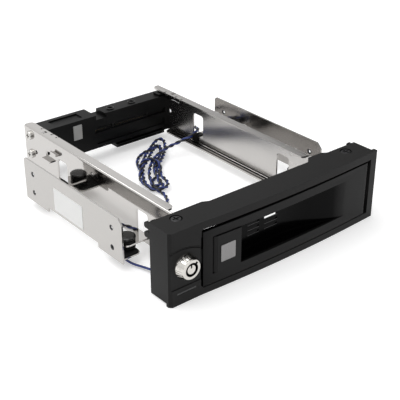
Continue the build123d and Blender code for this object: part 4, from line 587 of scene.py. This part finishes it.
eased("bezel", 0.35, BLACK_BEZEL, "chassis", segments=3)
eased("door", 0.25, DOOR_FACE, "door", segments=3, drawn=door_gap)
eased("door_latch", 0.3, BLACK_DOOR, "latch", segments=3)
eased("bezel_screws", 0.12, BLACK_SCREW, "chassis")
eased("lock_barrel", 0.2, LOCK, "chassis", segments=3, drawn=lock_cone)
eased("lock_core", 0.2, LOCK, "lock", segments=3, drawn=nose_notch)
eased("lock_cam", 0.2, LOCK, "lock")
eased("lock_nut", 0.2, LOCK, "chassis")
eased("left_wall", 0.12, SHEET_WALL, "chassis")
eased("right_wall", 0.12, SHEET_RIGHT, "chassis")
eased("left_bracket", 0.14, SHEET_BRACKET, "chassis")
eased("right_bracket", 0.14, SHEET_FAR_SHADED, "chassis")
eased("rear_housing", 0.3, BLACK_HOUSING, "chassis")
eased("rear_screws", 0.12, SCREW, "chassis")
eased("eject_slider", 0.12, SLIDER_BLACK, "slider")
eased("slider_rivets", 0.15, SCREW, "chassis")
eased("cable_clip", 0.3, BLACK_HOUSING, "chassis")
eased("eject_crank", 0.25, BLACK_DOOR, "door")
eased("drive_connector", 0.12, SOCKET, "chassis")
eased("data_connector", 0.12, SOCKET, "chassis")
eased("power_connector", 0.15, IVORY, "chassis")
eased("guide_plate", 0.12, GREY_PLATE, "chassis")
eased("backplane_pcb", 0.05, BOARD, "chassis")
eased("led_board", 0.05, BOARD, "chassis")
eased("led_light_pipe", 0.1, LIGHT_BAR, "chassis")
eased("crank_pin", 0.15, SCREW, "door")
eased("latch_pin", 0.1, SCREW, "door")
eased("door_hinge_pins", 0.15, SCREW, "chassis")
eased("latch_spring", 0.0, SCREW, "door")
eased("blank_label", 0.04, LABEL, "chassis")
eased("badge_plate", 0.12, BADGE, "latch", segments=3)


# Dampers: each profile is a list of radius and height.

DAMPER_X, DAMPER_YS = 62.8, (48.9, 128.0)
RUBBER_PROFILE = [
    (1.6, 6.3), (4.2, 6.3), (4.2, 7.1), (4.85, 7.5), (4.85, 8.7), (4.3, 9.0), (4.15, 9.6), (4.3, 10.0),
    (4.3, 10.2), (2.9, 10.2), (2.9, 11.2), (4.3, 11.2), (4.85, 11.5), (4.85, 12.5), (4.5, 12.8),
    (4.6, 13.4), (1.6, 13.4),
]
CAP_PROFILE = [
    (0.0, 5.3), (1.5, 5.3), (1.5, 13.4), (4.9, 13.4), (5.2, 13.6), (5.2, 14.0), (4.9, 14.4), (4.2, 14.66),
    (2.8, 14.78), (1.2, 14.8), (0.0, 14.8),
]
TAB_YS = ((41.6, 55.9), (120.1, 134.4))
PAD_WALL_X, PAD_TIP_X = 71.95, 59.2
PAD_LOW_Z, PAD_TOP_Z = 6.3, 7.1
PAD_CORNER = 2.4


def foot_pad(side, y0, y1):
    """Soft pad on a tab: its outline is a rectangle with two corners of PAD_CORNER radius r at the tip,
    the near one P(t) = corner centre + r (sin t, -cos t) and the far one its mirror image. Its sides
    lean in to the top over a small rounded edge: each level is the outline scaled about its middle."""
    x_wall, x_tip, corner = side * PAD_WALL_X, side * PAD_TIP_X, PAD_CORNER
    quarter = np.linspace(0, math.pi / 2, 7)
    out = np.sign(x_tip - x_wall)
    low = [(x_tip - out * corner * (1 - math.sin(t)), y0 + corner * (1 - math.cos(t))) for t in quarter]
    high = [(x_tip - out * corner * (1 - math.cos(t)), y1 - corner * (1 - math.sin(t))) for t in quarter]
    outline = np.array([(x_wall, y0), *low, *high, (x_wall, y1)])
    middle = outline.mean(0)
    edge = [(1.0, PAD_TOP_Z - 0.25), (0.985, PAD_TOP_Z - 0.07), (0.96, PAD_TOP_Z), (0.0, PAD_TOP_Z)]
    levels = [(1.0, PAD_LOW_Z), *edge]
    rows = [np.column_stack([middle + (outline - middle) * k, np.full(len(outline), z)]) for k, z in levels]
    return surface("pad", spot(np.array(rows)), round_v=True, sharp=50)


caps = []
for side, word in ((-1, "left"), (1, "right")):
    for y, tab_y, end in zip(DAMPER_YS, TAB_YS, ("front", "rear")):
        body = turned("rubber", (side * DAMPER_X, y, 0), rounded(RUBBER_PROFILE, 0.3))
        pad = foot_pad(side, *tab_y)
        for mesh in (body, pad):
            mesh.materials.append(RUBBER)
        shape = joined(f"{word}_{end}_rubber", [body, pad])
        node = f"{word}_{end}_damper"
        new_piece(f"{word}_{end}_rubber", shape, "chassis", None, (node,))
        cap = turned("cap", (side * DAMPER_X, y, 0), rounded(CAP_PROFILE, 0.25), steps=48)
        cap.materials.append(CAP)
        caps.append(cap)
new_piece("damper_caps", joined("damper_caps", caps), "chassis", None, ("damper_screws",))

KEY_SLOT_PROFILE = [(3.79, -7.2), (3.79, -3.72), (2.51, -3.72)]
well = turned("key_slot_lining", (LOCK_X, 0, LOCK_Z), KEY_SLOT_PROFILE, axis="y", steps=48)
new_piece("key_slot_lining", well, "chassis", BLACK_HOUSING)


def small_blocks(name, boxes):
    """Little blocks; each is given by two of its corners, and its six sides by the corner numbers."""
    sides = [(0, 1, 3, 2), (4, 6, 7, 5), (0, 4, 5, 1), (2, 3, 7, 6), (0, 2, 6, 4), (1, 5, 7, 3)]
    points, faces = [], []
    for low, high in boxes:
        start = len(points)
        xs, ys, zs = zip(low, high)
        points += [(x, y, z) for x in xs for y in ys for z in zs]
        faces += [[start + k for k in side] for side in sides]
    mesh = bpy.data.meshes.new(name)
    mesh.from_pydata(spot(points).tolist(), [], faces)
    return mesh


PIN_PITCH = 1.27
# Each tongue of the drive socket: X of its first contact, their number, and their pitch in PIN_PITCH.
TONGUES = ((-7.4, 7, 1.0), (8.6, 15, 1.18))
CONTACT_HALF, CONTACT_YS, CONTACT_ZS = 0.3, (159.9, 161.3), (21.12, 21.3)


def socket_contacts():
    """Gold springs under both tongues of the drive socket."""
    boxes = []
    for start, count, widening in TONGUES:
        for k in range(count):
            x = start + PIN_PITCH * k * widening
            low = (x - CONTACT_HALF, CONTACT_YS[0], CONTACT_ZS[0])
            high = (x + CONTACT_HALF, CONTACT_YS[1], CONTACT_ZS[1])
            boxes.append((low, high))
    return small_blocks("socket_contacts", boxes)


new_piece("socket_contacts", socket_contacts(), "chassis", GOLD)

ARCH_LEFT, ARCH_RIGHT, ARCH_CROWN = (-73.6, 30.9), (-54.6, 28.7), (-64.2, 31.45)
BEAD_HALF, BEAD_Y, BEAD_RISE = 0.26, -3.15, 0.28
# Strip of painted shade under the bead: where it starts below the arch, its width, and its depth.
ARCH_SHADE_START, ARCH_SHADE_WIDTH, ARCH_SHADE_Y = -0.2, 0.75, -2.84


def arch_line(name, reach_of, depth_of, turns):
    """Strip along the arched top of the panel round the lock: a circle of centre C and radius R through
    the arch's two ends and its crown, P(u, v) = C + (R + reach(v)) (sin u, cos u), at the depth of v."""
    left, right, crown = np.array(ARCH_LEFT), np.array(ARCH_RIGHT), np.array(ARCH_CROWN)
    rows = np.array([2 * (right - left), 2 * (crown - left)])
    centre = np.linalg.solve(rows, (right @ right - left @ left, crown @ crown - left @ left))
    radius = np.linalg.norm(crown - centre)
    ends = [math.atan2(*(end - centre)) for end in (left, right)]
    u = np.linspace(*ends, 40)[:, None]
    v = np.linspace(0, 1, turns)[None]
    reach = radius + reach_of(v) + 0 * u
    across, up = centre[0] + reach * np.sin(u), centre[1] + reach * np.cos(u)
    points = np.stack([across, depth_of(v) + 0 * u, up], -1)
    return surface(name, spot(points), sharp=80)


bead = arch_line(
    "arch_bead",
    lambda v: BEAD_HALF * np.cos(math.pi * v),
    lambda v: BEAD_Y - BEAD_RISE * np.sin(math.pi * v),
    9,
)
new_piece("arch_bead", bead, "chassis", BLACK_BEZEL)
# Painted shade: a near-black strip just in front of the recess under the arch bead, for the shadow of the
# arch's overhang.
shade = arch_line("arch_painted_shade", lambda v: ARCH_SHADE_START - ARCH_SHADE_WIDTH * v, lambda v: ARCH_SHADE_Y + 0 * v, 3)
new_piece("arch_painted_shade", shade, "chassis", SHADE_BLACK)

VENT_COLUMNS, VENT_ROWS = ((-17.3, -9.1), (-5.4, 4.0)), (18.0, 21.0, 24.0, 27.0)
VENT_HALF, VENT_HIGHLIGHT_YS, VENT_HIGHLIGHT_HEIGHT = 0.55, (3.9, 4.02), 0.22
RAIL_SHADE_XS, RAIL_YS, RAIL_ZS = ((49.2, 50.7), (47.2, 48.0)), (19.0, 154.0), (6.99, 7.03)
MOUNT_YS, MOUNT_ZS = (47.4, 126.65), (11.7, 23.54)
# One dark ring of painted shade in a thread, as a radius and a distance from the middle of the cage.
THREAD_SHADE_PROFILE = ((1.58, 72.93), (0.85, 72.7), (0.85, 72.3), (1.58, 72.07))


def vent_edge_highlights():
    """Painted highlight: thin strips lighter than the door on the lower edges of the scoop's vents, for the
    light caught along those edges.
    """
    front, back = VENT_HIGHLIGHT_YS
    lows = [(x0, x1, z - VENT_HALF) for x0, x1 in VENT_COLUMNS for z in VENT_ROWS]
    boxes = [((x0, front, z - VENT_HIGHLIGHT_HEIGHT), (x1, back, z)) for x0, x1, z in lows]
    return small_blocks("vent_edge_highlights", boxes)


def rail_groove_shade():
    """Painted shade: two thin near-black strips along each drive rail, for the shadow in its rolled
    channels.
    """
    pairs = [(min(s * a, s * b), max(s * a, s * b)) for s in (-1, 1) for a, b in RAIL_SHADE_XS]
    boxes = [((x0, RAIL_YS[0], RAIL_ZS[0]), (x1, RAIL_YS[1], RAIL_ZS[1])) for x0, x1 in pairs]
    return small_blocks("rail_groove_shade", boxes)


def hole_thread_shade():
    """Painted shade in the four threaded holes of each bracket: dark rings turned about X inside the sheet,
    in black screw metal, for the shade inside the holes.
    """
    rings = []
    for side in (-1, 1):
        profile = [(radius, side * x) for radius, x in THREAD_SHADE_PROFILE]
        for y in MOUNT_YS:
            for z in MOUNT_ZS:
                ring = turned("thread", (0, y, z), profile, axis="x", steps=24)
                ring.materials.append(BLACK_SCREW)
                rings.append(ring)
    return joined("hole_thread_shade", rings)


BOARD_BACK_Y, CHIP_BACK_Y, DOT_BACK_Y = 163.55, 164.5, 163.78
# Each chip as its left, right, lower and upper edge.
CHIPS = (
    (-9.6, -4.4, 21.6, 25.2), (-13.6, -11.4, 22.6, 24.0),
    (20.4, 24.6, 14.6, 18.8), (30.2, 32.0, 15.0, 18.6),
)
POWER_DOTS_X, POWER_PITCH, DATA_DOTS_X, DOT_ROW_Z, DOT_HALF = -38.0, 2.2, 1.4, 22.0, 0.4
SMALL_PART_ENDS = [(26.6, 15.2), (26.6, 17.4), (28.4, 15.2), (28.4, 17.4), (-2.6, 23.4), (-0.8, 23.4)]
DOOR_STOP = ((-52.6, 0.1, 36.0), (57.0, 0.7, 37.9))
RING_XS, RING_Y, RING_TOP_Z = (7.0, 24.0), 164.0, 31.98
RIM_R, RIM_BEAD_R = 2.4, 0.16


def board_parts():
    """Small chips on the back of the board, over and between its two connectors."""
    boxes = [((x0, BOARD_BACK_Y, z0), (x1, CHIP_BACK_Y, z1)) for x0, x1, z0, z1 in CHIPS]
    return small_blocks("board_chips", boxes)


def solder_dots():
    """Tinned pads in rows over the two connectors, and the ends of small parts."""
    dots = [(POWER_DOTS_X + POWER_PITCH * k, DOT_ROW_Z) for k in range(10)]
    dots += [(DATA_DOTS_X + PIN_PITCH * k, DOT_ROW_Z) for k in range(12)]
    dots += SMALL_PART_ENDS
    boxes = [
        ((x - DOT_HALF, BOARD_BACK_Y, z - DOT_HALF), (x + DOT_HALF, DOT_BACK_Y, z + DOT_HALF))
        for x, z in dots
    ]
    return small_blocks("solder_dots", boxes)


def door_stop():
    """Rib behind the door's top edge, against which the door shuts."""
    return small_blocks("door_stop", [DOOR_STOP])


def ring_rim_highlights():
    """Rims of the two moulded rings on the housing: a small half-round turned about each ring's axis, in a
    grey lighter than the housing as a painted highlight on the rims.
    """
    half_turn = np.linspace(math.pi, 0, 7)
    bead = [(RIM_R + RIM_BEAD_R * math.cos(t), RING_TOP_Z + RIM_BEAD_R * math.sin(t)) for t in half_turn]
    rims = [turned("rim", (x, RING_Y, 0), bead, steps=32, sharp=80) for x in RING_XS]
    for rim in rims:
        rim.materials.append(HIGHLIGHT_GREY)
    return joined("ring_rim_highlights", rims)


new_piece("door_stop", door_stop(), "chassis", BLACK_BEZEL)
new_piece("ring_rim_highlights", ring_rim_highlights(), "chassis", None)
new_piece("board_chips", board_parts(), "chassis", SOCKET)
new_piece("solder_dots", solder_dots(), "chassis", TIN)
new_piece("vent_edge_highlights", vent_edge_highlights(), "door", HIGHLIGHT_GREY)
new_piece("rail_groove_shade", rail_groove_shade(), "chassis", SHADE_BLACK)
new_piece("hole_thread_shade", hole_thread_shade(), "chassis", None)


# Indicator cable

REAR_ROUTE = [
    (50.1, 162.5, 9.0), (57.6, 162.5, 9.0), (62.6, 157.5, 9.0), (62.6, 149.0, 9.3), (59.5, 139.4, 11.4),
    (55.5, 132.8, 13.3), (49.5, 129.6, 13.4), (42.5, 130.3, 11.2), (35.5, 133.6, 8.4), (29.0, 134.0, 7.2),
]
HANK_ROUTE = [
    (23.0, 131.9, 6.9), (16.4, 128.7, 6.9), (11.4, 125.4, 5.9), (7.3, 121.6, 5.9), (2.6, 116.7, 5.5),
    (-1.5, 110.9, 4.8), (-3.8, 105.0, 3.7), (-3.6, 100.9, 3.4), (-1.1, 100.8, 3.2), (1.5, 104.8, 3.5),
    (3.7, 110.7, 4.6), (6.9, 117.1, 5.5), (10.9, 122.3, 5.2), (15.6, 126.2, 5.0), (20.7, 130.3, 4.8),
    (25.8, 135.2, 4.6), (30.5, 140.9, 4.0), (33.0, 145.8, 3.6), (31.7, 147.8, 3.6), (27.3, 144.8, 3.6),
    (20.7, 139.2, 4.0), (14.6, 133.5, 4.6), (9.8, 129.0, 5.3), (5.5, 126.0, 5.1), (1.0, 123.1, 4.7),
    (-3.2, 118.7, 3.7), (-6.3, 113.6, 3.4), (-7.8, 107.7, 3.4), (-7.5, 102.1, 3.4), (-5.7, 97.9, 3.5),
    (-2.5, 96.1, 3.5), (0.9, 96.5, 3.4), (4.0, 99.1, 3.4), (6.0, 103.5, 3.4), (6.8, 109.1, 3.5),
    (8.8, 115.4, 3.9), (11.7, 121.0, 3.5), (16.8, 124.9, 3.6), (22.4, 129.3, 3.5), (28.0, 134.7, 3.4),
    (33.5, 140.9, 3.4), (38.2, 147.0, 3.4), (40.9, 152.0, 3.4), (40.4, 155.1, 3.4), (37.0, 154.7, 3.4),
    (31.8, 151.2, 3.5), (25.9, 146.9, 3.5), (19.1, 141.9, 3.4), (12.9, 136.4, 3.4), (8.0, 130.7, 3.3),
    (4.0, 125.2, 2.7), (-0.3, 119.6, 2.4), (-3.7, 113.4, 1.8), (-5.5, 107.2, 1.3), (-6.2, 101.9, 1.3),
    (-1.0, 99.0, 1.3), (1.3, 99.8, 1.3), (3.3, 103.8, 1.4), (4.5, 109.4, 2.5), (6.8, 116.1, 3.2),
    (10.4, 121.8, 1.5), (15.3, 126.9, 1.3), (21.6, 132.7, 1.3), (28.1, 139.1, 1.3), (33.4, 145.2, 1.3),
    (34.9, 149.0, 1.3), (32.1, 150.1, 1.3), (27.1, 148.9, 1.3), (21.8, 147.9, 1.3), (16.4, 145.6, 1.3),
    (11.4, 141.6, 1.3), (7.7, 136.2, 1.3), (5.2, 131.0, 1.5), (3.1, 127.7, 3.0), (4.3, 127.6, 6.4),
    (7.5, 127.6, 8.1), (11.2, 125.8, 8.4), (13.7, 122.0, 6.6), (12.9, 117.6, 3.0), (8.9, 114.7, 1.3),
    (3.7, 113.1, 1.3), (-0.6, 110.5, 1.3), (-2.7, 106.1, 1.3), (-3.8, 99.0, 1.3), (-3.7, 93.6, 1.3),
]
FRONT_ROUTE = [
    (-5.4, 88.8, 1.25), (-8.2, 83.6, 1.25), (-12.8, 82.0, 1.25), (-19.4, 87.4, 1.25), (-27.4, 91.4, 1.25),
    (-36.4, 91.4, 1.25), (-46.0, 88.2, 1.25), (-55.0, 83.4, 1.25), (-60.8, 76.0, 1.25),
    (-62.6, 66.0, 1.25), (-64.4, 54.0, 1.25), (-65.6, 43.0, 1.25), (-62.0, 34.0, 1.3),
    (-60.6, 24.4, 2.6), (-63.0, 15.2, 5.5), (-63.0, 6.5, 5.5),
]
PAIR_WIDTH = 2.4
WIRE_R = 0.6
TWIST_PITCH = 9.4
WIRE_STEP = 0.6
# The twist ends this far before the far end, over the second length.
UNTWIST_FROM = 66.0
UNTWIST_OVER = 9.0


def cable_line(name, route):
    """Centre line of a cable: a NURBS spline steered by the route's points, read back from a curve with
    no bevel."""
    curve = bpy.data.curves.new(name + "_line", "CURVE")
    curve.dimensions = "3D"
    curve.resolution_u = 10
    spline = curve.splines.new("NURBS")
    spline.points.add(len(route) - 1)
    places = np.hstack([spot(route), np.ones((len(route), 1))])
    spline.points.foreach_set("co", places.ravel())
    spline.order_u = 3
    spline.use_endpoint_u = True
    carrier = bpy.data.objects.new(name + "_line", curve)
    line = bpy.data.meshes.new_from_object(carrier)
    points = np.empty(len(line.vertices) * 3)
    line.vertices.foreach_get("co", points)
    bpy.data.objects.remove(carrier)
    return points.reshape(-1, 3)


def carried_frames(points):
    """Side vectors along a line that turn as little as possible from one point to the next."""
    along = np.gradient(points, axis=0)
    along /= np.linalg.norm(along, axis=1)[:, None]
    side = np.empty_like(points)
    start = np.cross(along[0], (0, 0, 1.0))
    side[0] = start / np.linalg.norm(start)
    for i in range(1, len(points)):
        flat = side[i - 1] - along[i] * side[i - 1].dot(along[i])
        side[i] = flat / np.linalg.norm(flat)
    return side, np.cross(along, side)


def twisted_wire(name, line, start_turn, toward, material):
    """One wire of a twisted pair: its centre runs at the wire's radius round the pair's line,
    C(s) = line(s) + R (cos a side + sin a up), a = start + 2 pi s / pitch, and a circle is carried along
    C. The twist ends before the bezel: from there the wire lies beside the line, on its given side."""
    steps = np.linalg.norm(np.diff(line, axis=0), axis=1)
    run = np.concatenate([[0], np.cumsum(steps)])
    fine = np.linspace(0, run[-1], int(run[-1] / (WIRE_STEP / 1000)))
    middle = np.stack([np.interp(fine, run, line[:, k]) for k in range(3)], 1)
    side, up = carried_frames(middle)
    angle = start_turn + 2 * math.pi * fine / (TWIST_PITCH / 1000)
    around = np.cos(angle)[:, None] * side + np.sin(angle)[:, None] * up
    along = np.cross(side, up)
    across = toward - along * (along @ toward)[:, None]
    across /= np.linalg.norm(across, axis=1)[:, None]
    hold = np.clip((fine - run[-1] + UNTWIST_FROM / 1000) / (UNTWIST_OVER / 1000), 0, 1)[:, None]
    hold = hold * hold * (3 - 2 * hold)
    offset = (1 - hold) * around + hold * across
    offset /= np.linalg.norm(offset, axis=1)[:, None] + 1e-9
    centre = middle + (PAIR_WIDTH / 2 - WIRE_R) / 1000 * offset
    side, up = carried_frames(centre)
    turn = np.linspace(0, 2 * math.pi, 9, endpoint=False)
    ring = np.cos(turn)[None, :, None] * side[:, None] + np.sin(turn)[None, :, None] * up[:, None]
    mesh = surface(name, centre[:, None] + ring * (WIRE_R / 1000), round_v=True, caps=True, sharp=70)
    mesh.materials.append(material)
    return mesh


def indicator_cable():
    """The whole twisted pair: out of the housing, through the window, the hank, and into the bezel.
    Where it isn't twisted, the blue wire lies on the side that the camera sees."""
    line = cable_line("indicator_cable", REAR_ROUTE + HANK_ROUTE + FRONT_ROUTE)
    away = np.array(VIEW_ALONG)
    wires = [
        twisted_wire("blue_strand", line, 0.0, -away, BLUE_WIRE),
        twisted_wire("black_strand", line, math.pi, away, BLACK_WIRE),
    ]
    mesh = joined("indicator_cable", wires)
    stands_for = ("rear_cable", "cable_hank", "front_cable")
    piece = new_piece("indicator_cable", mesh, "chassis", None, stands_for)
    length = float(np.linalg.norm(np.diff(line, axis=0), axis=1).sum())
    return length


cable_length = indicator_cable()
print("indicator cable length", round(cable_length * 1000), "mm")
